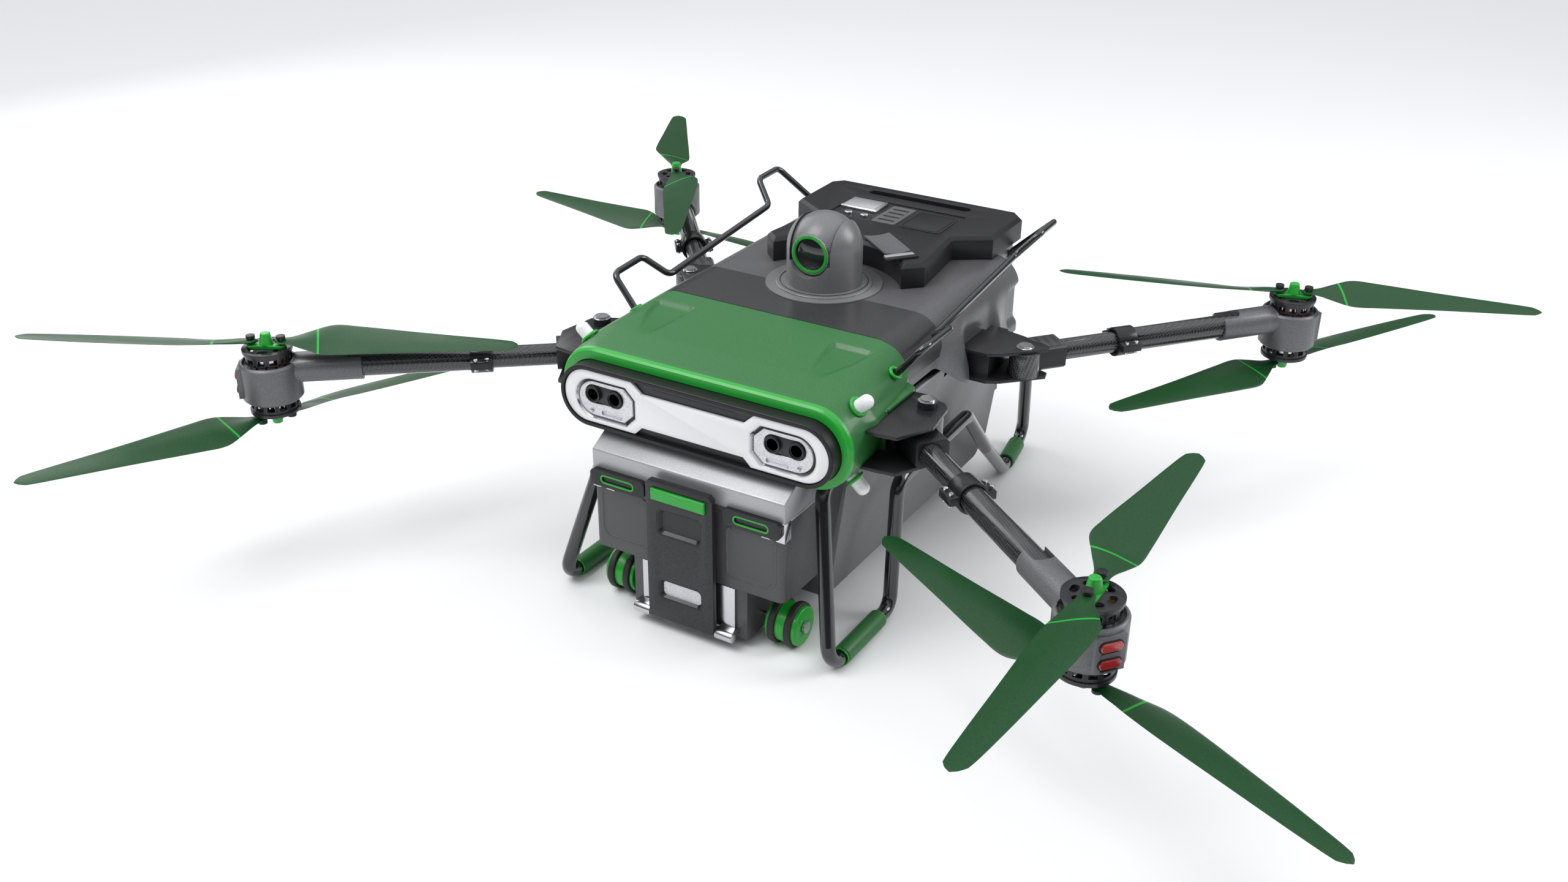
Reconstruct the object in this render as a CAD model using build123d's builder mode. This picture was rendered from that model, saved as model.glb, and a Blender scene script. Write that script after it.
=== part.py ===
from build123d import *
import os
from math import asin, atan2, cos, degrees, hypot, radians, sin, sqrt

os.makedirs("parts", exist_ok=True)

# Agricultural spray drone. Millimetres, +X right, +Y to the rear, +Z up, ground at Z = 0,
# origin under the middle of the rotors.

# ---- sensor bar across the nose
bar_width = 600.0
bar_height = 127.0
bar_front = -430.0
bar_z = 440.0
bar_depth = 42.0
bar_rim = 8.0
module_x = 195.5
module_width = 153.0
module_height = 97.0
lens_spacing = 50.0
lens_diameter = 33.0

# ---- nose cowl and upper shell
shell_wall = 5.0
cowl_front = -400.0
cowl_rear = -130.0
cowl_overhang = 22.0
shell_half_width = 290.0
shell_top = 555.0
shell_bottom = 455.0
shell_rear = 430.0
shell_shoulder = 65.0
deck_rear = 25.0
deck_drop = 60.0
tail_half = 222.0
tail_rear = 540.0

# ---- lower hull, liquid tank and pump
hull_front = -290.0
hull_rear = 430.0
hull_top = 425.0
hull_bottom = 62.0
hull_top_half = 268.0
hull_bottom_half = 222.0
hull_wall = 5.0
hull_gap = 20.0

# ---- chassis and arm hinges
arm_z = 430.0
front_plate_above = 43.5
rear_plate_above = 30.5
plate_below = 28.5
plate_thickness = 7.0
pin_diameter = 16.0
pin_head = 28.0
pin_collar = 36.0
front_pin = (369.0, -199.0)
rear_pin = (405.0, 176.0)
run_clearance = 0.05
face_clearance = 0.5

# ---- arms
arm_reach = 660.0
front_sweep = -42.0
rear_sweep = 53.4
tube_offset = 35.0
tube_diameter = 49.0
inner_tube_diameter = 44.0
tube_wall = 2.0
clamp_place = 245.0
clamp_width = 44.0

# ---- motor pods and rotors
pod_diameter = 118.0
pod_height = 80.0
pod_drop = 21.0
shaft_diameter = 12.0
ring_diameter = 98.0
bell_height = 21.0
ring_thickness = 7.0
rotor_radius = 500.0
blade_root = 92.0
blade_tip = 34.0

# ---- camera dome
dome_y = 66.5
dome_diameter = 155.0
dome_centre = 634.0
cheek_thickness = 31.0
flange_diameter = 200.0

# ---- battery pack
pack_bottom = 556.0
pack_top = 606.0
pack_rear = 547.0
pack_half = 240.0
handle_width = 250.0
handle_y = 500.0
handle_thickness = 18.0
cells_width = 270.0
cells_length = 225.0
cells_y = 345.0
button_diameter = 18.0

# ---- landing gear, rails and wheels
gear_diameter = 29.0
sleeve_diameter = 38.0
rail_diameter = 14.0
wheel_diameter = 92.0
wheel_width = 66.0
axle_diameter = 10.0
front_wheel_x = 187.0
front_wheel_y = -380.0
rear_wheel_x = 160.0
rear_wheel_y = 483.0
rear_wheel_z = 125.0

# ---- front container
case_half = 215.0
case_front = -450.0
case_rear = -292.0
case_bottom = 132.0
case_top = 302.0
tower_half = 130.0
tower_bottom = 18.0
lid_top = 372.0
lid_crease = 343.0
latch_half = 74.5
latch_top = 330.0
latch_thickness = 12.0
latch_gap = 13.0
hinge_z = 30.0
hinge_radius = 11.0
hinge_pin = 8.0


def save(name, *shapes):
    """Write one node: a single solid, or a group of separate solids."""
    node = shapes[0] if len(shapes) == 1 else Compound(children=list(shapes))
    node.label = name
    export_step(node, f"parts/{name}.step")


def front_plane(y):
    """A plane that faces forward at depth y, with x to the right and y up."""
    return Plane.XZ.offset(-y)


# ======================================================================
# Sensor bar: black stadium housing, white face, two camera modules
# ======================================================================
bar_inner = bar_height - 2 * bar_rim
panel_front = bar_front + 4
module_front = bar_front + 1
module_thickness = 12.0
panel_thickness = 5.0

with BuildPart() as bar_housing:
    with BuildSketch(front_plane(bar_front)):
        with Locations((0, bar_z)):
            SlotOverall(bar_width, bar_height)
    extrude(amount=-bar_depth)
    fillet(bar_housing.faces().sort_by(Axis.Y)[0].edges(), 3)
    with BuildSketch(front_plane(bar_front)):
        with Locations((0, bar_z)):
            SlotOverall(bar_width - 2 * bar_rim, bar_inner)
    extrude(amount=-(bar_depth - bar_rim), mode=Mode.SUBTRACT)
save("bar_housing", bar_housing.part)

band_half = 112.0
band_spread = 23.0
strip_half = 35.0
strip_z = bar_z - 2.5
with BuildPart() as sensor_panel:
    with BuildSketch(front_plane(panel_front)):
        with Locations((0, bar_z)):
            SlotOverall(bar_width - 2 * bar_rim - 2, bar_inner - 2)
        for side in (1, -1):
            edge = strip_z + side * strip_half
            far = bar_z + side * bar_inner
            Polygon((-band_half, edge), (band_half, edge),
                    (band_half + band_spread + 45, far), (-band_half - band_spread - 45, far),
                    align=None, mode=Mode.SUBTRACT)
        for side in (1, -1):
            with Locations((side * module_x, bar_z - 3)):
                Rectangle(module_width - 20, module_height - 24, mode=Mode.SUBTRACT)
    extrude(amount=-panel_thickness)
save("sensor_panel", sensor_panel.part)

outer_radius = 44.0
inner_chamfer = 22.0
lens_z = bar_z + 6
lens_places = [(side * (module_x + 3.5 + step * lens_spacing / 2), lens_z)
               for side in (1, -1) for step in (1, -1)]
with BuildPart() as camera_modules:
    with BuildSketch(front_plane(module_front)):
        with Locations((module_x, bar_z - 3)):
            Rectangle(module_width, module_height)
        outer = vertices().filter_by(lambda v: v.X > module_x)
        inner = vertices().filter_by(lambda v: v.X < module_x)
        fillet(outer, outer_radius)
        chamfer(inner, inner_chamfer)
    extrude(amount=-3)
    with BuildSketch(front_plane(module_front + 3)):
        with Locations((module_x, bar_z - 3)):
            Rectangle(module_width - 24, module_height - 28)
    extrude(amount=-(module_thickness - 3))
    mirror(about=Plane.YZ)
    with BuildSketch(front_plane(module_front)):
        with Locations(*lens_places):
            Circle(lens_diameter / 2)
    extrude(amount=-module_thickness, mode=Mode.SUBTRACT)
    with BuildSketch(front_plane(module_front)):
        with Locations((module_x - 12, bar_z - 32), (12 - module_x, bar_z - 32)):
            SlotOverall(47, 10)
    extrude(amount=-3, mode=Mode.SUBTRACT)
save("camera_modules", camera_modules.part)

with BuildPart() as camera_lenses:
    with BuildSketch(front_plane(module_front - 1)):
        with Locations(*lens_places):
            Circle(lens_diameter / 2 - run_clearance)
    extrude(amount=-(module_thickness + 1))
    with BuildSketch(front_plane(module_front - 1)):
        with Locations(*lens_places):
            Circle(lens_diameter / 2 - 4)
    extrude(amount=-1.5, mode=Mode.SUBTRACT)
save("camera_lenses", camera_lenses.part)

# ======================================================================
# Antenna caps above and spray nozzles below, on the cowl's cheeks
# ======================================================================
cap_radius = 13.5
cap_length = 60.0
cap_y = -334.0


def capsule(name, centre, tilt):
    with BuildPart() as pair:
        axis = Plane(origin=centre, x_dir=(0, 1, 0), z_dir=(cos(radians(tilt)), 0, sin(radians(tilt))))
        with BuildSketch(axis):
            Circle(cap_radius)
        extrude(amount=cap_length, both=False)
        fillet(pair.faces().sort_by(Axis.X)[-1].edges(), cap_radius - 1)
        mirror(about=Plane.YZ)
    save(name, pair.part)
    return pair.part


antenna_caps = capsule("antenna_caps", (278.0, cap_y, 497.0), 42)
spray_nozzles = capsule("spray_nozzles", (276.0, cap_y, 385.0), -42)

# ======================================================================
# Rails over the body, landing gear and its green sleeves
# ======================================================================


def bent_tube(points, radius, diameter, wall):
    """A tube along straight runs that are joined by round bends."""
    with BuildPart() as tube:
        with BuildLine() as path:
            FilletPolyline(*points, radius=radius)
        start = path.line @ 0
        with BuildSketch(Plane(origin=start, z_dir=path.line % 0)):
            Circle(diameter / 2)
            if wall:
                Circle(diameter / 2 - wall, mode=Mode.SUBTRACT)
        sweep(path=path.line)
    return tube.part


rail_points = [(292, -184, 516), (348, -181, 583), (352, -76, 586), (303, -50, 548), (300, 345, 585),
               (341, 367, 633), (341, 453, 636), (218, 505, 520)]
with BuildPart() as upper_rails:
    add(bent_tube(rail_points, 18, rail_diameter, 0))
    mirror(about=Plane.YZ)
save("upper_rails", upper_rails.part)

foot_flat = 0.5
gear_z = sleeve_diameter / 2 - foot_flat
gear_points = [(238, -276, 352), (238, -353, 336), (309, -442, gear_z), (309, -195, gear_z),
               (300, -165, 285), (292, 166, 285), (284, 300, 150), (262, 462, gear_z),
               (233, 650, gear_z), (270, 545, 262), (198, 520, 262)]
with BuildPart() as gear_rods:
    add(bent_tube(gear_points, 32, gear_diameter, 0))
    mirror(about=Plane.YZ)
with BuildPart() as landing_gear:
    add(bent_tube(gear_points, 32, gear_diameter, 2))
    mirror(about=Plane.YZ)
save("landing_gear", landing_gear.part)


def sleeve(start, end):
    axis = Vector(*end) - Vector(*start)
    with BuildPart() as part:
        with BuildSketch(Plane(origin=start, z_dir=axis)):
            Circle(sleeve_diameter / 2)
            Circle(gear_diameter / 2, mode=Mode.SUBTRACT)
        extrude(amount=axis.length)
        fillet(part.edges().filter_by(GeomType.CIRCLE).filter_by(lambda e: e.radius > gear_diameter / 2 + 1), 2)
    return part.part


def between(a, b, share):
    return tuple(p + (q - p) * share for p, q in zip(a, b))


with BuildPart() as gear_sleeves:
    add(sleeve(between(gear_points[2], gear_points[3], 0.2), between(gear_points[2], gear_points[3], 0.8)))
    add(sleeve(between(gear_points[7], gear_points[8], 0.18), between(gear_points[7], gear_points[8], 0.7)))
    split(bisect_by=Plane.XY)
    mirror(about=Plane.YZ)
save("gear_sleeves", gear_sleeves.part)

# ======================================================================
# Nose cowl: a lofted green shell around the back of the bar
# ======================================================================
cowl_wall = 7.0
cowl_sections = [(cowl_front, bar_width + 2 * cowl_overhang - 6, 166.0, bar_z + 3),
                 (cowl_front + 75, bar_width + 2 * cowl_overhang, 182.0, bar_z + 9),
                 (cowl_rear, 2 * shell_half_width + 12, 190.0, shell_top - 95)]


def cowl_body(shrink, front_shift):
    with BuildPart() as body:
        for index, (y, width, height, z) in enumerate(cowl_sections):
            depth = y + (front_shift if index == 0 else 0)
            with BuildSketch(front_plane(depth)):
                with Locations((0, z)):
                    RectangleRounded(width - shrink, height - shrink, 72 - shrink / 2)
        loft()
    return body.part


window_low = arm_z - plate_below - plate_thickness
window_high = arm_z + front_plate_above + plate_thickness
with BuildPart() as cowl:
    add(cowl_body(0, 0))
    add(cowl_body(2 * cowl_wall, cowl_wall), mode=Mode.SUBTRACT)
    with BuildSketch(front_plane(cowl_front - 1)):
        with Locations((0, bar_z)):
            SlotOverall(bar_width + 1, bar_height + 1)
    extrude(amount=-(bar_depth), mode=Mode.SUBTRACT)
    with Locations((0, (cowl_front + cowl_rear) / 2, 340)):
        Box(2 * case_half + 50, 2 * (cowl_rear - cowl_front), 90, mode=Mode.SUBTRACT)
    with BuildSketch(front_plane(cowl_rear)):
        with Locations((0, (window_low + window_high) / 2)):
            Rectangle(4 * shell_half_width, window_high - window_low)
        with Locations((0, (window_low + window_high) / 2)):
            Rectangle(2 * shell_half_width - 30, window_high - window_low, mode=Mode.SUBTRACT)
    extrude(amount=225, mode=Mode.SUBTRACT)
    with Locations((0, (hull_front + cowl_rear) / 2 + 10, hull_top - 45)):
        Box(2 * hull_top_half + 8, cowl_rear - hull_front + 24, 96, mode=Mode.SUBTRACT)
    for piece in (antenna_caps, spray_nozzles, upper_rails.part, gear_rods.part):
        add(piece, mode=Mode.SUBTRACT)
save("cowl", cowl.part)

# ======================================================================
# Upper shell and dark deck: one profile, split where the deck begins
# ======================================================================
opening_margin = 3.0
with BuildPart() as shell_profile:
    with BuildSketch(front_plane(cowl_rear)):
        with Locations((0, (shell_top + shell_bottom) / 2)):
            Rectangle(2 * shell_half_width, shell_top - shell_bottom)
        fillet(vertices().group_by(Axis.Y)[-1], shell_shoulder)
    extrude(amount=-(shell_rear - cowl_rear))
    back = shell_profile.faces().sort_by(Axis.Y)[-1]
    fillet(back.edges().filter_by(lambda e: e.center().Z > shell_bottom + 1), 18)
    low_face = shell_profile.faces().sort_by(Axis.Z)[0]
    front_face = shell_profile.faces().sort_by(Axis.Y)[0]
    offset(amount=-shell_wall, openings=[low_face, front_face])
    for inset in (0, shell_wall):
        with BuildSketch(front_plane(shell_rear - 3 * inset)):
            with Locations((0, (shell_top + shell_bottom - 2 * inset) / 2)):
                Rectangle(2 * (tail_half - inset), shell_top - shell_bottom)
            fillet(vertices().group_by(Axis.Y)[-1], 30 - inset)
        extrude(amount=-(tail_rear - shell_rear + 2 * inset), mode=Mode.SUBTRACT if inset else Mode.ADD)

deck_low = shell_top - deck_drop
with BuildPart() as deck_zone:
    with Locations((0, (cowl_rear + deck_rear) / 2, deck_low + 100)):
        Box(4 * shell_half_width, deck_rear - cowl_rear, 200)
    with Locations((0, dome_y, deck_low + 100)):
        Cylinder(flange_diameter / 2 + 22, 200, mode=Mode.SUBTRACT)

with BuildPart() as deck_panel:
    add(shell_profile.part)
    add(deck_zone.part, mode=Mode.INTERSECT)
save("deck_panel", deck_panel.part)

rear_window_high = arm_z + rear_plate_above + plate_thickness
arm_slot_front = rear_pin[1] - 75
arm_slot_rear = rear_pin[1] + 70
with BuildPart() as upper_shell:
    add(shell_profile.part)
    add(deck_zone.part, mode=Mode.SUBTRACT)
    with Locations((0, cells_y, shell_top)):
        Box(cells_width + 2 * opening_margin, cells_length + 2 * opening_margin, 60, mode=Mode.SUBTRACT)
    with Locations((0, (arm_slot_front + arm_slot_rear) / 2, rear_window_high - 60)):
        Box(4 * shell_half_width, arm_slot_rear - arm_slot_front, 120, mode=Mode.SUBTRACT)
    add(upper_rails.part, mode=Mode.SUBTRACT)
save("upper_shell", upper_shell.part)

# ======================================================================
# Lower hull: tapered tub with a narrow raised tail, holding the tank and pump
# ======================================================================
tail_step = rear_wheel_y - wheel_diameter / 2 - 60
tail_bottom = rear_wheel_z + wheel_diameter / 2 + 7
hull_tail_half = tail_half - 17


def hull_block(inset):
    with BuildPart() as block:
        with BuildSketch(front_plane(hull_front + inset)):
            Polygon((-hull_top_half + inset, hull_top + inset), (hull_top_half - inset, hull_top + inset),
                    (hull_bottom_half - inset, hull_bottom + inset),
                    (-hull_bottom_half + inset, hull_bottom + inset), align=None)
        extrude(amount=-(hull_rear - hull_front - 2 * inset))
        with BuildSketch(Plane.YZ):
            Polygon((tail_step - inset, 0), (tail_step - inset, hull_bottom + inset),
                    (tail_step + tail_bottom - hull_bottom - inset, tail_bottom + inset),
                    (tail_rear + 50, tail_bottom + inset), (tail_rear + 50, 0), align=None)
        extrude(amount=2 * hull_top_half, both=True, mode=Mode.SUBTRACT)
        with BuildSketch(front_plane(hull_rear - 3 * inset)):
            with Locations((0, (hull_top + tail_bottom) / 2 + inset)):
                Rectangle(2 * (hull_tail_half - inset), hull_top - tail_bottom)
        extrude(amount=-(tail_rear - hull_rear - 5 + 2 * inset))
    return block.part


with BuildPart() as lower_hull:
    add(hull_block(0))
    fillet(lower_hull.edges().filter_by(Axis.Y).group_by(Axis.Z)[0], 18)
    add(hull_block(hull_wall), mode=Mode.SUBTRACT)
    for y in (front_pin[1], rear_pin[1]):
        with Locations((0, y, hull_top)):
            Box(4 * hull_top_half, 150, 2 * (hull_top - window_low + 2), mode=Mode.SUBTRACT)
    add(gear_rods.part, mode=Mode.SUBTRACT)
save("lower_hull", lower_hull.part)

tank_low = hull_bottom + hull_gap
tank_high = 330.0
tank_front = hull_front + hull_gap
tank_length = 520.0
tank_wall = 3.0
tank_corner = 20.0


def tank_block(inset):
    with BuildPart() as block:
        with Locations((0, tank_front + tank_length / 2, (tank_low + tank_high) / 2)):
            Box(2 * (hull_bottom_half - 1.5 * hull_gap - inset), tank_length - 2 * inset,
                tank_high - tank_low - 2 * inset)
        fillet(block.edges(), tank_corner - inset)
    return block.part


with BuildPart() as liquid_tank:
    add(tank_block(0))
    with Locations((120, tank_front + 60, tank_high)):
        Cylinder(30, 24)
    add(tank_block(tank_wall), mode=Mode.SUBTRACT)
    with Locations((120, tank_front + 60, tank_high)):
        Cylinder(25, 60, mode=Mode.SUBTRACT)
save("liquid_tank", liquid_tank.part)

pump_y = tank_front + tank_length + 60
with BuildPart() as spray_pump:
    with Locations((0, pump_y, tank_low + 60)):
        Cylinder(34, 110, rotation=(0, 90, 0))
        Box(70, 80, 90)
    with Locations((0, pump_y - 47, tank_low + 60)):
        Cylinder(9, 26, rotation=(90, 0, 0))
save("spray_pump", spray_pump.part)

# ======================================================================
# Chassis: two cross beams, two long rails, and the hinge plates
# ======================================================================
beam_low = arm_z - plate_below + plate_thickness / 2
beam_high = arm_z + front_plate_above - plate_thickness / 2
rail_x = 246.0
beam_end_gap = 54.0
beam_wall = 4.0
front_plate = [(302, -155), (322, -155), (340, -345), (378, -340), (416, -270), (405, -188),
               (392, -170), (369, -162), (345, -150)]
rear_plate = [(302, 245), (339, 243), (353, 105), (378, 120), (447, 190), (444, 206), (430, 212),
              (405, 214), (385, 226)]


def hinge_plates(outline, pin, z):
    with BuildPart() as plates:
        with BuildSketch(Plane.XY.offset(z - plate_thickness / 2)):
            Polygon(*outline, align=None)
            Polygon((300, outline[0][1]), outline[1], outline[2], (300, outline[2][1]), align=None)
            with Locations(pin):
                Circle(pin_head / 2 + 8)
                Circle(pin_diameter / 2, mode=Mode.SUBTRACT)
        extrude(amount=plate_thickness)
    return plates.part


with BuildPart() as chassis:
    for pin, width, above in ((front_pin, 150, front_plate_above), (rear_pin, 130, rear_plate_above)):
        high = arm_z + above - plate_thickness / 2
        with Locations((0, pin[1], (beam_low + high) / 2)):
            Box(2 * (pin[0] - beam_end_gap), width - 20, high - beam_low)
            Box(2 * (pin[0] - beam_end_gap - beam_wall), width - 20 - 2 * beam_wall,
                high - beam_low - 2 * beam_wall, mode=Mode.SUBTRACT)
    with Locations((rail_x, (cowl_front + hull_rear) / 2, (hull_top + shell_bottom) / 2)):
        Box(30, hull_rear - cowl_front - 40, shell_bottom - hull_top - 2)
    for outline, pin, above in ((front_plate, front_pin, front_plate_above),
                                (rear_plate, rear_pin, rear_plate_above)):
        for z in (arm_z + above, arm_z - plate_below):
            add(hinge_plates(outline, pin, z))
    mirror(about=Plane.YZ)
save("chassis", chassis.part)

with BuildPart() as hinge_pins:
    pin_low = arm_z - plate_below - plate_thickness / 2 - 4
    for pin, above, collar in ((front_pin, front_plate_above, 14), (rear_pin, rear_plate_above, 1)):
        pin_high = arm_z + above + plate_thickness / 2
        for low, high, across in ((pin_low, pin_high, pin_diameter), (pin_high, pin_high + collar, pin_collar),
                                  (pin_high + collar, pin_high + collar + 4, pin_head)):
            with BuildSketch(Plane.XY.offset(low)):
                with Locations(pin):
                    Circle(across / 2)
            extrude(amount=high - low)
    mirror(about=Plane.YZ)
save("hinge_pins", hinge_pins.part)

controller_y = -60.0
with BuildPart() as flight_controller:
    with Locations((0, controller_y, beam_high + 22)):
        Box(150, 110, 34)
    fillet(flight_controller.edges().filter_by(Axis.Z), 8)
    with Locations((0, controller_y - 60, beam_high + 22)):
        Box(90, 14, 14)
save("flight_controller", flight_controller.part)

# ======================================================================
# Wheels and axles
# ======================================================================
tyre_width = 15.0
rim_radius = wheel_diameter / 2 - 6


def wheel(name, x, y, z):
    with BuildPart() as rim:
        with Locations((x, y, z)):
            Cylinder(rim_radius, wheel_width, rotation=(0, 90, 0))
        chamfer(rim.edges().filter_by(GeomType.CIRCLE), 2)
        with Locations((x, y, z)):
            Cylinder(axle_diameter / 2 + run_clearance, wheel_width, rotation=(0, 90, 0), mode=Mode.SUBTRACT)
    tyres = []
    for side in (1, -1):
        with BuildPart() as tyre:
            with Locations((x + side * (wheel_width / 2 - tyre_width), y, z)):
                Cylinder(wheel_diameter / 2, tyre_width, rotation=(0, 90, 0))
            fillet(tyre.edges().filter_by(GeomType.CIRCLE), 4)
            with Locations((x, y, z)):
                Cylinder(rim_radius, 2 * wheel_width, rotation=(0, 90, 0), mode=Mode.SUBTRACT)
        tyres.append(tyre.part)
    save(name, rim.part, *tyres)


def axle(name, x, y, z, hangers=()):
    with BuildPart() as rod:
        with Locations((0, y, z)):
            Cylinder(axle_diameter / 2, 2 * x + wheel_width + 8, rotation=(0, 90, 0))
        for side in (1, -1):
            with Locations((side * (x + wheel_width / 2 + 4), y, z)):
                Cylinder(12, 5, rotation=(0, 90, 0))
        for hanger_x in hangers:
            with Locations((hanger_x, y, (z - 14 + tail_bottom) / 2)):
                Box(8, 34, tail_bottom - z + 14)
    save(name, rod.part)


hanger_x = rear_wheel_x - wheel_width / 2 - 9
for place, x, y, z, hangers in (("front", front_wheel_x, front_wheel_y, wheel_diameter / 2, ()),
                                ("rear", rear_wheel_x, rear_wheel_y, rear_wheel_z, (hanger_x, -hanger_x))):
    wheel(f"wheel_{place}_right", x, y, z)
    wheel(f"wheel_{place}_left", -x, y, z)
    axle(f"{place}_axle", x, y, z, hangers)

# ======================================================================
# Front container: case, lid, sliding clips, latch
# ======================================================================
case_wall = 5.0
tower_front = case_front + 8
tower_rear = case_rear - 20
clip_x = 150.0
clip_z = 290.0
clip_width = 126.0
clip_height = 34.0
clip_thickness = 12.0
guide = 6.0
with BuildPart() as container_case:
    with BuildSketch(Plane.XY.offset(case_bottom)):
        with Locations((0, (case_front + case_rear) / 2)):
            Rectangle(2 * case_half, case_rear - case_front)
    extrude(amount=case_top - case_bottom)
    fillet(container_case.edges().filter_by(Axis.Z), 14)
    with Locations((0, (tower_front + tower_rear) / 2, (tower_bottom + case_bottom) / 2)):
        Box(2 * tower_half, tower_rear - tower_front, case_bottom - tower_bottom)
    with Locations((0, (case_front + case_rear) / 2, (case_top + case_bottom) / 2 + case_wall)):
        Box(2 * (case_half - case_wall), case_rear - case_front - 2 * case_wall - 4, case_top - case_bottom,
            mode=Mode.SUBTRACT)
    with Locations((0, (tower_front + tower_rear) / 2, (tower_bottom + case_bottom) / 2 + case_wall + 3)):
        Box(2 * (tower_half - case_wall), tower_rear - tower_front - 2 * case_wall,
            case_bottom - tower_bottom + 6, mode=Mode.SUBTRACT)
    with Locations((0, front_wheel_y, wheel_diameter / 2)):
        Cylinder(axle_diameter / 2, 4 * case_half, rotation=(0, 90, 0), mode=Mode.SUBTRACT)
    with Locations((clip_x, case_front - guide / 2, clip_z), (-clip_x, case_front - guide / 2, clip_z)):
        Box(clip_width - 40, guide, guide)
save("container_case", container_case.part)

with BuildPart() as container_lid:
    with BuildSketch(Plane.YZ):
        Polygon((case_front, case_top), (case_front, lid_crease), (case_front + 52, lid_top),
                (case_rear, lid_top), (case_rear, case_top), align=None)
    extrude(amount=case_half, both=True)
    fillet(container_lid.edges().filter_by(Axis.X).filter_by(lambda e: e.center().Z > case_top + 5), 6)
    with BuildSketch(Plane.YZ):
        Polygon((case_front + case_wall, case_top), (case_front + case_wall, lid_crease - 4),
                (case_front + 54, lid_top - case_wall), (case_rear - case_wall, lid_top - case_wall),
                (case_rear - case_wall, case_top), align=None)
    extrude(amount=case_half - case_wall, both=True, mode=Mode.SUBTRACT)
save("container_lid", container_lid.part)


def clip(name, side):
    with BuildPart() as part:
        with BuildSketch(front_plane(case_front - 0.2)):
            with Locations((side * clip_x, clip_z)):
                RectangleRounded(clip_width, clip_height, 10)
        extrude(amount=clip_thickness)
        with BuildSketch(front_plane(case_front - 0.2 - clip_thickness)):
            with Locations((side * clip_x, clip_z)):
                SlotOverall(74, 15)
        extrude(amount=-(clip_thickness - guide - 2), mode=Mode.SUBTRACT)
        with Locations((side * clip_x, case_front - guide / 2, clip_z)):
            Box(clip_width - 10, guide + 1, guide + 0.6, mode=Mode.SUBTRACT)
    save(name, part.part)


clip("clip_right", 1)
clip("clip_left", -1)

hinge_y = case_front - latch_gap - latch_thickness + hinge_radius
hinge_half = 113.0
with BuildPart() as latch_hinge:
    with Locations((0, tower_front - 3, (hinge_z + case_bottom) / 2)):
        Box(2 * 106, 6, case_bottom - hinge_z - 6)
    for side in (1, -1):
        with Locations((side * (latch_half + hinge_half + 1) / 2, hinge_y, hinge_z)):
            Cylinder(hinge_radius, hinge_half - latch_half - 1, rotation=(0, 90, 0))
        with Locations((side * (latch_half + hinge_half + 1) / 2, (hinge_y + tower_front) / 2, hinge_z + 6)):
            Box(hinge_half - latch_half - 1, tower_front - hinge_y, 10)
    with Locations((0, hinge_y, hinge_z)):
        Cylinder(hinge_pin / 2, 2 * hinge_half - 4, rotation=(0, 90, 0))
save("latch_hinge", latch_hinge.part)

button_z = 303.0
button_width = 120.0
button_height = 24.0
latch_front = case_front - latch_gap - latch_thickness
button_travel = 4.0
window_width = 100.0
windows = [(244.0, 58.0), (96.0, 44.0)]
with BuildPart() as latch_plate:
    with BuildSketch(front_plane(latch_front)):
        with Locations((0, (latch_top + hinge_z) / 2)):
            Rectangle(2 * latch_half, latch_top - hinge_z)
        chamfer(vertices().group_by(Axis.Y)[-1], 8)
        for z, height in windows:
            with Locations((0, z)):
                RectangleRounded(window_width, height, 12, mode=Mode.SUBTRACT)
        with Locations((0, button_z)):
            Rectangle(button_width + 1, button_height + 1, mode=Mode.SUBTRACT)
    extrude(amount=-latch_thickness)
    with Locations((0, hinge_y, hinge_z)):
        Cylinder(hinge_radius, 2 * latch_half, rotation=(0, 90, 0))
        Cylinder(hinge_pin / 2 + run_clearance, 2 * latch_half, rotation=(0, 90, 0), mode=Mode.SUBTRACT)
save("latch_plate", latch_plate.part)

with BuildPart() as latch_button:
    with Locations((0, latch_front + latch_thickness / 2 - 4, button_z)):
        Box(button_width, latch_thickness + 4, button_height)
    fillet(latch_button.faces().sort_by(Axis.Y)[0].edges(), 3)
save("latch_button", latch_button.part)

# ======================================================================
# Camera dome: fixed base, panning yoke, tilting eye
# ======================================================================
dome_radius = dome_diameter / 2
eye_radius = dome_radius - 5
slot_half = dome_radius - cheek_thickness
flange_top = dome_centre - dome_radius + 5
with BuildPart() as dome_base:
    with BuildSketch(Plane.XY.offset(shell_top)):
        with Locations((0, dome_y)):
            Circle(flange_diameter / 2 + 20)
            Circle(eye_radius / 2, mode=Mode.SUBTRACT)
    extrude(amount=3)
    with BuildSketch(Plane.XY.offset(shell_top)):
        with Locations((0, dome_y)):
            Circle(flange_diameter / 2)
            Circle(eye_radius / 2, mode=Mode.SUBTRACT)
    extrude(amount=flange_top - shell_top)
    fillet(dome_base.edges().filter_by(GeomType.CIRCLE).group_by(Axis.Z)[-1].sort_by(SortBy.LENGTH)[-1], 3)
save("dome_base", dome_base.part)

trunnion = 8.0


def eye_slab(radius, half_width):
    """A ball with both sides sliced flat."""
    with BuildPart() as slab:
        with Locations((0, dome_y, dome_centre)):
            Sphere(radius)
            Box(2 * half_width, 4 * radius, 4 * radius, mode=Mode.INTERSECT)
    return slab.part


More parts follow.
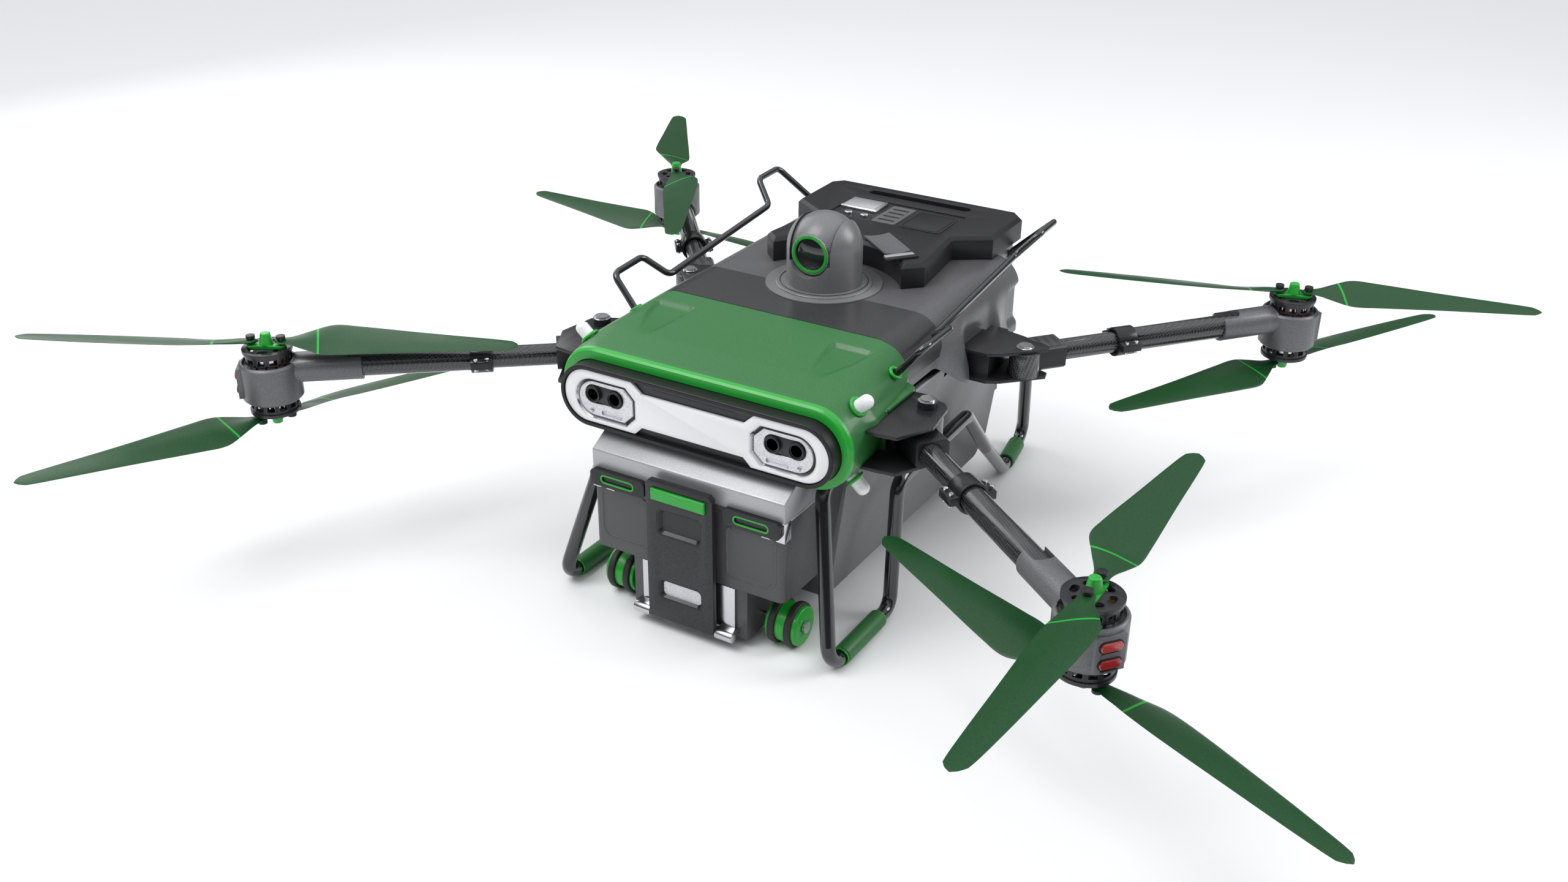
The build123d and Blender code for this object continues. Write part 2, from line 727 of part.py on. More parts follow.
with BuildPart() as camera_yoke:
    with BuildSketch(Plane.XZ.offset(-dome_y)):
        with BuildLine():
            low = flange_top + face_clearance
            Polyline((0, dome_centre + dome_radius), (0, low), (dome_radius, low), (dome_radius, dome_centre))
            RadiusArc((dome_radius, dome_centre), (0, dome_centre + dome_radius), -dome_radius)
        make_face()
    revolve(axis=Axis((0, dome_y, 0), (0, 0, 1)))
    with Locations((0, dome_y, dome_centre + dome_radius)):
        Box(2 * slot_half, 2 * dome_diameter, 2 * dome_radius + 40, mode=Mode.SUBTRACT)
    add(eye_slab(eye_radius + 1, slot_half), mode=Mode.SUBTRACT)
    with Locations((0, dome_y, dome_centre)):
        Cylinder(trunnion + run_clearance, 2 * slot_half + 10, rotation=(0, 90, 0), mode=Mode.SUBTRACT)
save("camera_yoke", camera_yoke.part)

lens_face = 42.0
lens_depth = 3.0
face_plane = front_plane(dome_y - sqrt(eye_radius ** 2 - lens_face ** 2) + lens_depth)
with BuildPart() as camera_eye:
    add(eye_slab(eye_radius, slot_half - face_clearance))
    with BuildSketch(face_plane):
        with Locations((0, dome_centre)):
            Circle(lens_face)
    extrude(amount=eye_radius, mode=Mode.SUBTRACT)
    with BuildSketch(face_plane):
        with Locations((0, dome_centre)):
            Circle(lens_face - 2)
            Circle(lens_face - 9, mode=Mode.SUBTRACT)
    extrude(amount=lens_depth + 1)
    with Locations((0, dome_y, dome_centre)):
        Cylinder(trunnion, 2 * slot_half + 8, rotation=(0, 90, 0))
save("camera_eye", camera_eye.part)

# ======================================================================
# Battery pack: T-shaped carry cap with the cells hanging below it
# ======================================================================
recess_depth = 4.0
display_x, display_y = -91.0, 410.0
display_size = (88.0, 64.0)
button_y = 352.0
with BuildPart() as pack_body:
    with BuildSketch(Plane.XY.offset(pack_bottom)):
        with BuildLine():
            Polyline((150, 115), (186, 150), (166, 322), (238, 370), (pack_half, 520), (216, pack_rear),
                     (-216, pack_rear), (-pack_half, 520), (-238, 370), (-166, 322), (-186, 150), (-150, 115))
            ThreePointArc((-150, 115), (0, dome_y + flange_diameter / 2 + 34), (150, 115))
        make_face()
        with Locations((0, handle_y)):
            SlotOverall(handle_width, 26, mode=Mode.SUBTRACT)
    extrude(amount=pack_top - pack_bottom)
    chamfer(pack_body.faces().sort_by(Axis.Z)[-1].outer_wire().edges(), 8)
    with Locations((0, handle_y + 40, pack_bottom)):
        Box(handle_width + 30, 110, 2 * (pack_top - pack_bottom - handle_thickness), mode=Mode.SUBTRACT)
    with BuildSketch(Plane.XY.offset(pack_top)):
        with Locations((0, 386)):
            RectangleRounded(276, 134, 8)
    extrude(amount=-recess_depth, mode=Mode.SUBTRACT)
    with BuildSketch(Plane.XY.offset(pack_top)):
        with Locations((-100, button_y), (-61, button_y)):
            Circle(button_diameter / 2 + 0.4)
    extrude(amount=-14, mode=Mode.SUBTRACT)
save("pack_body", pack_body.part)

cells_height = 140.0
with BuildPart() as pack_cells:
    with Locations((0, cells_y, pack_bottom - cells_height / 2)):
        Box(cells_width, cells_length, cells_height)
    fillet(pack_cells.edges().filter_by(Axis.Z), 8)
save("pack_cells", pack_cells.part)

with BuildPart() as pack_display:
    with Locations((display_x, display_y, pack_top - recess_depth + 4)):
        Box(*display_size, 8)
    chamfer(pack_display.faces().sort_by(Axis.Z)[-1].edges(), 3)
    with Locations((-5, 386, pack_top - recess_depth + 3), (66, 386, pack_top - recess_depth + 3)):
        Box(62, 118, 6)
save("pack_display", pack_display.part)

for name, x in (("power_button", -61.0), ("check_button", -100.0)):
    with BuildPart() as button:
        with BuildSketch(Plane.XY.offset(pack_top - 9)):
            with Locations((x, button_y)):
                Circle(button_diameter / 2)
        extrude(amount=11)
        chamfer(button.faces().sort_by(Axis.Z)[-1].edges(), 1.5)
    save(name, button.part)

# ======================================================================
# Folding arms, built once about their own tube axis and then placed
# ======================================================================
tube_run = sqrt(arm_reach ** 2 - tube_offset ** 2)
knuckle_radius = 31.0
block_length = 95.0
sleeve_wall = 6.0
outer_start = clamp_place - clamp_width / 4
across = (0, 90, 0)

block_low = plate_thickness / 2 - plate_below + face_clearance
block_high = rear_plate_above - plate_thickness / 2 - face_clearance


def arm_root(above):
    low, high = block_low, above - plate_thickness / 2 - face_clearance
    with BuildPart() as root:
        with Locations((block_length / 2, 4, (block_low + block_high) / 2)):
            Box(block_length, 66, block_high - block_low)
        chamfer(root.edges().filter_by(Axis.X), 6)
        with Locations((0, tube_offset, (low + high) / 2)):
            Cylinder(knuckle_radius, high - low)
            Cylinder(pin_diameter / 2 + run_clearance, 2 * (high - low), mode=Mode.SUBTRACT)
        with Locations((block_length, 0, 0)):
            Cylinder(inner_tube_diameter / 2, 120, rotation=across, mode=Mode.SUBTRACT)
    return root.part


arm_roots = {"front": arm_root(front_plate_above), "rear": arm_root(rear_plate_above)}


def straight_tube(start, end, diameter, wall):
    with BuildPart() as tube:
        with BuildSketch(Plane.YZ.offset(start)):
            Circle(diameter / 2)
            Circle(diameter / 2 - wall, mode=Mode.SUBTRACT)
        extrude(amount=end - start)
    return tube.part


inner_tube = straight_tube(block_length - 60, clamp_place + clamp_width / 2, inner_tube_diameter, 3)
outer_tube = straight_tube(outer_start, tube_run - pod_diameter / 2, tube_diameter, tube_wall)

with BuildPart() as arm_clamp:
    with BuildSketch(Plane.YZ.offset(clamp_place - clamp_width / 2)):
        Circle(tube_diameter / 2 + 6)
        Rectangle(tube_diameter + 40, 16)
        Circle(tube_diameter / 2, mode=Mode.SUBTRACT)
    extrude(amount=clamp_width)
clamp_screws = []
for x in (-1, 1):
    for y in (-1, 1):
        with BuildPart() as screw:
            spot = (clamp_place + x * clamp_width / 4, y * (tube_diameter / 2 + 13))
            with BuildSketch(Plane.XY.offset(8)):
                with Locations(spot):
                    Circle(4.25)
            extrude(amount=5)
            with BuildSketch(Plane.XY.offset(-8)):
                with Locations(spot):
                    Circle(4.25)
            extrude(amount=-5)
        clamp_screws.append(screw.part)

pod_top = pod_height / 2 - pod_drop
pod_low = -pod_height / 2 - pod_drop
sleeve_start = tube_run - 180
with BuildPart() as motor_pod:
    with Locations((tube_run, 0, -pod_drop)):
        Cylinder(pod_diameter / 2, pod_height)
    chamfer(motor_pod.edges().filter_by(GeomType.CIRCLE), 4)
    with BuildSketch(Plane.YZ.offset(sleeve_start)):
        Circle(tube_diameter / 2 + sleeve_wall)
    extrude(amount=180 - pod_diameter / 3)
    with BuildSketch(Plane.XY.offset(tube_diameter / 4)):
        with Locations((sleeve_start, 0)):
            SlotOverall(90, 38)
    extrude(amount=60, mode=Mode.SUBTRACT)
    with Locations((tube_run + pod_diameter / 2 - 6, 0, -pod_drop)):
        Box(18, 52, 62)
    with BuildSketch(Plane.YZ.offset(sleeve_start - 1)):
        Circle(tube_diameter / 2)
    extrude(amount=181 - pod_diameter / 2, mode=Mode.SUBTRACT)
    with Locations((tube_run, 0, pod_top + 20), (tube_run, 0, pod_low - 20)):
        Cylinder(pod_diameter / 2 - 7, 60, mode=Mode.SUBTRACT)
    with Locations((tube_run, 0, -pod_drop)):
        Cylinder(shaft_diameter / 2 + run_clearance, 2 * pod_height, mode=Mode.SUBTRACT)
stators = []
for side, face in ((1, pod_top - 10), (-1, pod_low + 10)):
    with BuildPart() as stator:
        with BuildSketch(Plane.XY.offset(face)):
            with Locations((tube_run, 0)):
                Circle(38)
                Circle(10, mode=Mode.SUBTRACT)
                with PolarLocations(34, 12):
                    Rectangle(16, 5, mode=Mode.SUBTRACT)
        extrude(amount=side * 22)
    stators.append(stator.part)
lights = []
for z in (14, -16):
    with BuildPart() as light:
        with Locations((tube_run + pod_diameter / 2 + 5, 0, z - pod_drop)):
            Box(4, 36, 14)
        fillet(light.faces().sort_by(Axis.X)[-1].edges(), 1.5)
    lights.append(light.part)

# ======================================================================
# Rotors: outrunner bell, hub with blade clamps, two twisted blades
# ======================================================================
blade_height = bell_height + ring_thickness + 12
blade_pin_radius = 30.0
blade_pin = 8.0
boss_radius = 9.0
blade_stations = [(16, 26, 9, 0, 0), (44, 32, 8, 4, 2), (80, 64, 7, 14, 8), (120, blade_root, 6, 17, 12),
                  (170, 0.98 * blade_root, 5.5, 15, 12), (300, 0.75 * blade_root, 4.5, 11, 8),
                  (rotor_radius - 40, 0.35 * (blade_root + blade_tip), 3.5, 7, 2),
                  (rotor_radius, blade_tip, 3, 6, 0)]
with BuildPart() as blade:
    for radius, chord, thickness, pitch, lead in blade_stations:
        lean = radians(pitch)
        with BuildSketch(Plane(origin=(radius, lead, blade_height), x_dir=(0, cos(lean), sin(lean)),
                               z_dir=(1, 0, 0))):
            SlotOverall(chord, thickness)
    loft(ruled=True)
    with Locations((blade_pin_radius, 0, blade_height)):
        Cylinder(blade_pin / 2 + run_clearance, 40, mode=Mode.SUBTRACT)

with BuildPart() as rotor_bell:
    with BuildSketch(Plane.XY.offset(1)):
        Circle(ring_diameter / 2 - 3)
        Circle(ring_diameter / 2 - 7, mode=Mode.SUBTRACT)
    extrude(amount=bell_height - 1)
    with BuildSketch(Plane.XY.offset(4)):
        with PolarLocations(ring_diameter / 2 - 4, 12):
            Rectangle(16, 15, mode=Mode.ADD)
    extrude(amount=bell_height - 10, mode=Mode.SUBTRACT)
    with BuildSketch(Plane.XY.offset(bell_height)):
        Circle(ring_diameter / 2)
        with PolarLocations(30, 6, start_angle=30):
            SlotOverall(22, 13, rotation=90, mode=Mode.SUBTRACT)
    extrude(amount=ring_thickness)
    with BuildSketch():
        Circle(shaft_diameter / 2)
    extrude(amount=bell_height)
    with BuildSketch():
        Circle(shaft_diameter / 2)
    extrude(amount=-30)

with BuildPart() as rotor_hub:
    plate_top = bell_height + ring_thickness + 6
    boss_low = blade_height + 6
    with BuildSketch(Plane.XY.offset(bell_height + ring_thickness)):
        SlotOverall(2 * (blade_pin_radius + boss_radius), 26)
    extrude(amount=6)
    with BuildSketch(Plane.XY.offset(plate_top)):
        Circle(14)
    extrude(amount=24, taper=10)
    fillet(rotor_hub.faces().sort_by(Axis.Z)[-1].edges(), 3)
    with BuildSketch(Plane.XY.offset(plate_top)):
        with Locations((blade_pin_radius, 0), (-blade_pin_radius, 0)):
            Circle(blade_pin / 2)
    extrude(amount=boss_low - plate_top)
    with BuildSketch(Plane.XY.offset(boss_low)):
        with Locations((blade_pin_radius, 0), (-blade_pin_radius, 0)):
            Circle(boss_radius)
    extrude(amount=6)


def rotor_shapes(turn):
    """Bell, hub and both blades, turned to where the rotor stands."""
    pieces = [rotor_bell.part, rotor_hub.part, blade.part, blade.part.rotate(Axis.Z, 180)]
    return [piece.rotate(Axis.Z, turn) for piece in pieces]


def arm_place(side, pin, sweep, pin_left):
    """Frame whose x axis is the tube axis and whose origin is beside the pin."""
    lean = degrees(asin(tube_offset / arm_reach))
    heading = sweep + (lean if pin_left else -lean)
    pod_x = pin[0] + arm_reach * cos(radians(sweep))
    pod_y = pin[1] + arm_reach * sin(radians(sweep))
    base_x = pod_x - tube_run * cos(radians(heading))
    base_y = pod_y - tube_run * sin(radians(heading))
    if side < 0:
        heading = 180 - heading
        base_x = -base_x
    return Location((base_x, base_y, arm_z), (0, 0, heading)), heading


# corner: side, pin, sweep, pin on the left of the tube, upper and lower blade bearings
corners = {
    "front_right": (1, front_pin, front_sweep, True, 90.0, -25.0),
    "front_left": (-1, front_pin, front_sweep, True, 29.0, 67.0),
    "rear_right": (1, rear_pin, rear_sweep, False, 18.0, 62.0),
    "rear_left": (-1, rear_pin, rear_sweep, False, 123.0, 176.0),
}
for corner, (side, pin, sweep, pin_left, upper, lower) in corners.items():
    frame, heading = arm_place(side, pin, sweep, pin_left)
    left_handed = pin_left != (side > 0)

    def placed(shapes):
        handed = [shape.mirror(Plane.XZ) if left_handed else shape for shape in shapes]
        return [frame * shape for shape in handed]

    save(f"arm_{corner}", *placed([arm_roots[corner.split("_")[0]], inner_tube, outer_tube]))
    save(f"arm_clamp_{corner}", *placed([arm_clamp.part, *clamp_screws]))
    save(f"motor_pod_{corner}", *placed([motor_pod.part, *stators, *lights]))
    top = frame * Location((tube_run, 0, pod_top), (0, 0, -heading))
    bottom = frame * Location((tube_run, 0, pod_low), (0, 0, -heading))
    save(f"rotor_{corner}_upper", *[top * shape for shape in rotor_shapes(upper)])
    flipped = [shape.mirror(Plane.XY) for shape in rotor_shapes(lower)]
    save(f"rotor_{corner}_lower", *[bottom * shape for shape in flipped])
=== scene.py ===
from math import atan2, cos, pi, radians, sin, sqrt, tan

import bpy
from mathutils import Matrix, Vector


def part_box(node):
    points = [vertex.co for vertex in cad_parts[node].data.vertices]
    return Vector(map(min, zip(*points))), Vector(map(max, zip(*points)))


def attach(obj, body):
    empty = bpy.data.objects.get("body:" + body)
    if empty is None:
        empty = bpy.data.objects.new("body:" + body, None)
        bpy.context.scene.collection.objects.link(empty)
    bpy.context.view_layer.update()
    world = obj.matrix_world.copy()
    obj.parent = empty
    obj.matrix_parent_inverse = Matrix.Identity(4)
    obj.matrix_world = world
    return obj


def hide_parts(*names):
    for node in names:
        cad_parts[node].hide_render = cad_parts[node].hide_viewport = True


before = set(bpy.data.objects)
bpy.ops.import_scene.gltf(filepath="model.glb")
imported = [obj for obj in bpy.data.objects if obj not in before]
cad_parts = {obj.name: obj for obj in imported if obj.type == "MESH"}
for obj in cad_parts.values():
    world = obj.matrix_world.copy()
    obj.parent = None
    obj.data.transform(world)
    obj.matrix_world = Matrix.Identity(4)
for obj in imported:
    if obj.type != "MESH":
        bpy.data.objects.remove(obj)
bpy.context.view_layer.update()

# ----------------------------------------------------------------------
# Studio: a pale floor under soft light boxes, and the camera.
# The camera looks down on the nose from the drone's right front.
# ----------------------------------------------------------------------
camera_spot = Vector((1.4762, -2.6047, 1.7584))
camera_turn, camera_drop, camera_roll = radians(30.401), radians(27.214), radians(0.594)
camera_lens = 36.64

look = Vector((-sin(camera_turn) * cos(camera_drop), cos(camera_turn) * cos(camera_drop), -sin(camera_drop)))
level = Vector((cos(camera_turn), sin(camera_turn), 0))
upright = level.cross(look)
right = cos(camera_roll) * level + sin(camera_roll) * upright
up = cos(camera_roll) * upright - sin(camera_roll) * level
bpy.ops.object.camera_add()
camera = bpy.context.object
camera.matrix_world = Matrix((right, up, -look)).transposed().to_4x4()
camera.location = camera_spot
camera.data.lens = camera_lens
camera.data.sensor_width = 36
camera.data.clip_end = 60
bpy.context.scene.camera = camera


def clear():
    """Leaves edit mode with nothing selected."""
    if bpy.context.mode != "OBJECT":
        bpy.ops.object.mode_set(mode="OBJECT")
    bpy.ops.object.select_all(action="DESELECT")


def only(piece):
    """Selects one piece and makes it the active one."""
    clear()
    piece.select_set(True)
    bpy.context.view_layer.objects.active = piece
    return piece


def edit(piece, *steps):
    """Runs edit-mode operators, each a pair of operator and settings, over the whole of a piece."""
    only(piece)
    bpy.ops.object.mode_set(mode="EDIT")
    for operator, settings in steps:
        bpy.ops.mesh.select_all(action="SELECT")
        operator(**settings)
    bpy.ops.object.mode_set(mode="OBJECT")
    return piece


def soft_box_light(name, place, aim, size, power):
    """A square light box that points at a spot."""
    clear()
    bpy.ops.object.light_add(type="AREA", location=place)
    lamp = bpy.context.object
    lamp.name = name
    lamp.data.size = size
    lamp.data.energy = power
    lamp.rotation_euler = (Vector(aim) - Vector(place)).to_track_quat("-Z", "Y").to_euler()


soft_box_light("key_box", (-1.5, -2.2, 4.2), (0, 0, 0.3), 2.6, 105)
soft_box_light("rim_box", (3.4, 2.2, 2.6), (0, 0, 0.4), 2.0, 75)
soft_box_light("fill_box", (-3.6, 1.0, 2.2), (0, 0, 0.4), 2.5, 40)

clear()
bpy.ops.mesh.primitive_grid_add(x_subdivisions=4, y_subdivisions=4, size=60, location=(0, 0, 0))
floor = bpy.context.object
floor.name = "studio_floor"

world = bpy.data.worlds.new("studio")
world.use_nodes = True
sky = world.node_tree.nodes
sky["Background"].inputs["Color"].default_value = (0.97, 0.98, 1.0, 1)
direction = sky.new("ShaderNodeTexCoord")
heights = sky.new("ShaderNodeSeparateXYZ")
world.node_tree.links.new(direction.outputs["Generated"], heights.inputs["Vector"])
rise = sky.new("ShaderNodeMapRange")
rise.inputs["From Min"].default_value = 0.25
rise.inputs["From Max"].default_value = 0.9
rise.inputs["To Min"].default_value = 0.10
rise.inputs["To Max"].default_value = 1.30
world.node_tree.links.new(heights.outputs["Z"], rise.inputs["Value"])
world.node_tree.links.new(rise.outputs["Result"], sky["Background"].inputs["Strength"])
bpy.context.scene.world = world
bpy.context.scene.view_settings.view_transform = "Standard"


def new_material(name):
    """An empty finish, with its nodes, its links and its shader."""
    material = bpy.data.materials.new(name)
    material.use_nodes = True
    tree = material.node_tree
    return material, tree.nodes, tree.links, tree.nodes["Principled BSDF"]


floor_paint, nodes, links, shader = new_material("floor_paper")
shader.inputs["Base Color"].default_value = (0.86, 0.865, 0.875, 1)
shader.inputs["Roughness"].default_value = 0.85
floor.data.materials.append(floor_paint)

# ----------------------------------------------------------------------
# Sensor bar: a black moulded stadium ring, a white gloss face and two
# silver bead-blasted camera modules that sit in polished bevels.
# ----------------------------------------------------------------------


def grain(nodes, links, scale, detail=3.0, source="Object"):
    """Fine noise that is fixed to the piece."""
    coordinates = nodes.new("ShaderNodeTexCoord")
    noise = nodes.new("ShaderNodeTexNoise")
    noise.inputs["Scale"].default_value = scale
    noise.inputs["Detail"].default_value = detail
    links.new(coordinates.outputs[source], noise.inputs["Vector"])
    return noise


def spread(nodes, links, value, low, high, span=(0.35, 0.65)):
    """Maps a noise value to a range."""
    ranged = nodes.new("ShaderNodeMapRange")
    ranged.inputs["From Min"].default_value = span[0]
    ranged.inputs["From Max"].default_value = span[1]
    ranged.inputs["To Min"].default_value = low
    ranged.inputs["To Max"].default_value = high
    links.new(value, ranged.inputs["Value"])
    return ranged.outputs["Result"]


def tint(nodes, links, factor, dark, light):
    """Blends two colours."""
    mix = nodes.new("ShaderNodeMix")
    mix.data_type = "RGBA"
    mix.inputs["A"].default_value = (*dark, 1)
    mix.inputs["B"].default_value = (*light, 1)
    links.new(factor, mix.inputs["Factor"])
    return mix.outputs["Result"]


def finish(name, dark, light, rough, metal=0.0, speckle=700.0, bump=0.15, coat=0.0, wear=5.0, shine=0.5):
    """Moulded or painted finish: speckled colour, uneven gloss and a fine grain."""
    material, nodes, links, shader = new_material(name)
    fine = grain(nodes, links, speckle)
    broad = grain(nodes, links, wear, 2.0)
    speck = spread(nodes, links, fine.outputs["Fac"], 0.0, 1.0)
    links.new(tint(nodes, links, speck, dark, light), shader.inputs["Base Color"])
    links.new(spread(nodes, links, broad.outputs["Fac"], rough[0], rough[1]), shader.inputs["Roughness"])
    shader.inputs["Metallic"].default_value = metal
    shader.inputs["Coat Weight"].default_value = coat
    shader.inputs["Coat Roughness"].default_value = 0.12
    shader.inputs["Specular IOR Level"].default_value = shine
    ripple = nodes.new("ShaderNodeBump")
    ripple.inputs["Strength"].default_value = bump
    ripple.inputs["Distance"].default_value = 0.0004
    links.new(fine.outputs["Fac"], ripple.inputs["Height"])
    links.new(ripple.outputs["Normal"], shader.inputs["Normal"])
    return material


def settle(piece):
    """Moves a piece's place into its mesh."""
    only(piece)
    bpy.ops.object.transform_apply(location=True, rotation=True, scale=True)
    return piece


def modify(piece, kind, **settings):
    """Adds one modifier and applies it."""
    only(piece)
    modifier = piece.modifiers.new(kind.lower(), kind)
    for key, value in settings.items():
        setattr(modifier, key, value)
    bpy.ops.object.modifier_apply(modifier=modifier.name)
    return piece


def round_edges(piece, width, segments=3, angle=35):
    """A rounded edge wherever two faces meet sharply."""
    return modify(piece, "BEVEL", width=width, segments=segments, limit_method="ANGLE",
                  angle_limit=radians(angle), use_clamp_overlap=True)


def plate(points, low, high, upright=False):
    """An outline filled and extruded from low to high; upright ones face the nose."""
    clear()
    bpy.ops.mesh.primitive_circle_add(vertices=len(points), fill_type="NGON")
    piece = bpy.context.object
    for vertex, (x, y) in zip(piece.data.vertices, points):
        vertex.co = (x, y, low)
    outward = (bpy.ops.mesh.normals_make_consistent, {"inside": False})
    lift = {"TRANSFORM_OT_translate": {"value": (0, 0, high - low)}}
    edit(piece, (bpy.ops.mesh.extrude_region_move, lift), outward)
    if upright:
        piece.data.transform(Matrix(((1, 0, 0, 0), (0, 0, 1, 0), (0, 1, 0, 0), (0, 0, 0, 1))))
        edit(piece, outward)
    return piece


def rounded(corners, steps=8):
    """Outline points from corners of the form (x, y, radius), each rounded by an arc."""
    points = []
    for index, (x, y, radius) in enumerate(corners):
        here = Vector((x, y))
        before = Vector(corners[index - 1][:2]) - here
        after = Vector(corners[(index + 1) % len(corners)][:2]) - here
        if radius == 0:
            points.append((x, y))
            continue
        half = before.angle(after) / 2
        reach = min(radius / tan(half), before.length * 0.49, after.length * 0.49)
        start, end = here + before.normalized() * reach, here + after.normalized() * reach
        centre = here + (before.normalized() + after.normalized()).normalized() * (reach / cos(half))
        first = atan2(*(start - centre).yx)
        sweep = (atan2(*(end - centre).yx) - first + pi) % (2 * pi) - pi
        size = (start - centre).length
        for step in range(steps + 1):
            turn = first + sweep * step / steps
            points.append((centre.x + size * cos(turn), centre.y + size * sin(turn)))
    return points


def box_outline(left, low, right, high, radius, steps=8):
    """A rectangle with rounded corners."""
    return rounded([(left, low, radius), (right, low, radius), (right, high, radius), (left, high, radius)],
                   steps)


def slot_outline(x, y, width, height, steps=12):
    """A rounded slot about a centre."""
    half, rise = width / 2, height / 2
    return rounded([(x - half, y - rise, rise * 0.98), (x + half, y - rise, rise * 0.98),
                    (x + half, y + rise, rise * 0.98), (x - half, y + rise, rise * 0.98)], steps)


def block(low, high):
    """A cube primitive stretched between two corners."""
    clear()
    low, high = Vector(low), Vector(high)
    bpy.ops.mesh.primitive_cube_add(size=1, location=(low + high) / 2)
    piece = bpy.context.object
    piece.scale = high - low
    return settle(piece)


def drum(centre, radius, length, axis="Z", sides=48, end_radius=None):
    """A round bar, or a cone where its ends differ, about one axis."""
    clear()
    turn = {"X": (0, pi / 2, 0), "Y": (-pi / 2, 0, 0), "Z": (0, 0, 0)}[axis]
    bpy.ops.mesh.primitive_cone_add(vertices=sides, radius1=radius, depth=length, location=centre,
                                    radius2=radius if end_radius is None else end_radius, rotation=turn)
    return settle(bpy.context.object)


def carve(piece, *cutters, way="DIFFERENCE"):
    """Cuts pieces away, or unites them, and clears the cutters."""
    for cutter in cutters:
        modify(piece, "BOOLEAN", object=cutter, operation=way, solver="EXACT")
        bpy.data.objects.remove(cutter)
    return piece


def join(pieces):
    """Makes one object of several."""
    clear()
    for piece in pieces:
        piece.select_set(True)
    bpy.context.view_layer.objects.active = pieces[0]
    bpy.ops.object.join()
    return bpy.context.object


def place_copy(piece, matrix):
    """A copy of a piece, with its own mesh, moved or mirrored by a matrix."""
    copy = piece.copy()
    copy.data = piece.data.copy()
    bpy.context.scene.collection.objects.link(copy)
    copy.data.transform(matrix)
    if matrix.determinant() < 0:
        edit(copy, (bpy.ops.mesh.flip_normals, {}))
    return copy


def twin(piece):
    """The same piece on the left side."""
    return place_copy(piece, Matrix.Diagonal((-1, 1, 1, 1)))


def dress(piece, name, body, slot, material, *replaced, angle=32):
    """Names a finished piece, gives it its finish and hangs it on its body."""
    only(piece)
    bpy.ops.object.shade_smooth_by_angle(angle=radians(angle))
    piece.name = name
    piece.data.name = name
    if material:
        piece.data.materials.clear()
        piece.data.materials.append(material)
    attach(piece, body)
    if replaced:
        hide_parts(*replaced)
    return piece


def coat_node(material, *names):
    """Gives CAD nodes a finish."""
    for name in names:
        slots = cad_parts[name].data.materials
        slots.clear()
        slots.append(material)


bar_low, bar_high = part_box("bar_housing")
bar_z = (bar_low.z + bar_high.z) / 2
bar_front = bar_low.y
bar_half, bar_rise = bar_high.x, (bar_high.z - bar_low.z) / 2
rim = 0.010
black_mould = finish("black_mould", (0.007, 0.007, 0.008), (0.017, 0.017, 0.018), (0.28, 0.42),
                     speckle=900, shine=0.3)
dark_band = finish("dark_band", (0.020, 0.020, 0.022), (0.038, 0.038, 0.041), (0.35, 0.5), speckle=1200)
white_gloss = finish("white_gloss", (0.8, 0.8, 0.82), (0.84, 0.84, 0.855), (0.18, 0.26), bump=0.03, coat=0.5)
blasted_silver = finish("blasted_silver", (0.42, 0.42, 0.44), (0.86, 0.86, 0.88), (0.3, 0.42), metal=0.85,
                        speckle=1100, bump=0.5)
polished_bevel = finish("polished_bevel", (0.5, 0.5, 0.52), (0.6, 0.6, 0.62), (0.12, 0.2), metal=1.0,
                        bump=0.02)
lens_black = finish("lens_black", (0.006, 0.006, 0.007), (0.014, 0.014, 0.015), (0.3, 0.4), speckle=1500)
lens_glass = finish("lens_glass", (0.004, 0.004, 0.006), (0.008, 0.008, 0.012), (0.04, 0.07), bump=0.0,
                    coat=1.0)
coat_node(black_mould, "bar_housing")

face_half, face_rise = bar_half - rim, bar_rise - rim
strip_half, strip_top, strip_low, flare = 0.112, bar_z + 0.032, bar_z - 0.037, 0.023
face_low, face_top, face_bend = bar_z - face_rise, bar_z + face_rise, face_rise * 0.98
notch_low, notch_top = strip_half + flare * 0.72, strip_half + flare
face_corners = [(-strip_half, strip_low, 0), (strip_half, strip_low, 0), (notch_low, face_low, 0),
                (face_half, face_low, face_bend), (face_half, face_top, face_bend), (notch_top, face_top, 0),
                (strip_half, strip_top, 0), (-strip_half, strip_top, 0), (-notch_top, face_top, 0),
                (-face_half, face_top, face_bend), (-face_half, face_low, face_bend),
                (-notch_low, face_low, 0)]


def module_outline(grow):
    """A module's outline: round outside, chamfered inside."""
    inner, outer = 0.119 - grow, 0.272 + grow
    low, high, cut = bar_z - 0.052 - grow, bar_z + 0.045 + grow, 0.022
    bend = 0.047 + grow
    return rounded([(inner + cut, low, 0), (outer, low, bend), (outer, high, bend), (inner + cut, high, 0),
                    (inner, high - cut, 0), (inner, low + cut, 0)], 14)


def mirrored(points):
    return [(-x, y) for x, y in reversed(points)]


face_front = bar_front + 0.003
face = plate(rounded(face_corners, 14), face_front, face_front + 0.007, upright=True)
carve(face, plate(module_outline(-0.006), face_front - 0.01, face_front + 0.02, upright=True),
      plate(mirrored(module_outline(-0.006)), face_front - 0.01, face_front + 0.02, upright=True))
round_edges(face, 0.0008, 2)
dress(face, "sensor_face", "fuselage", "white_panel", white_gloss, "sensor_panel")

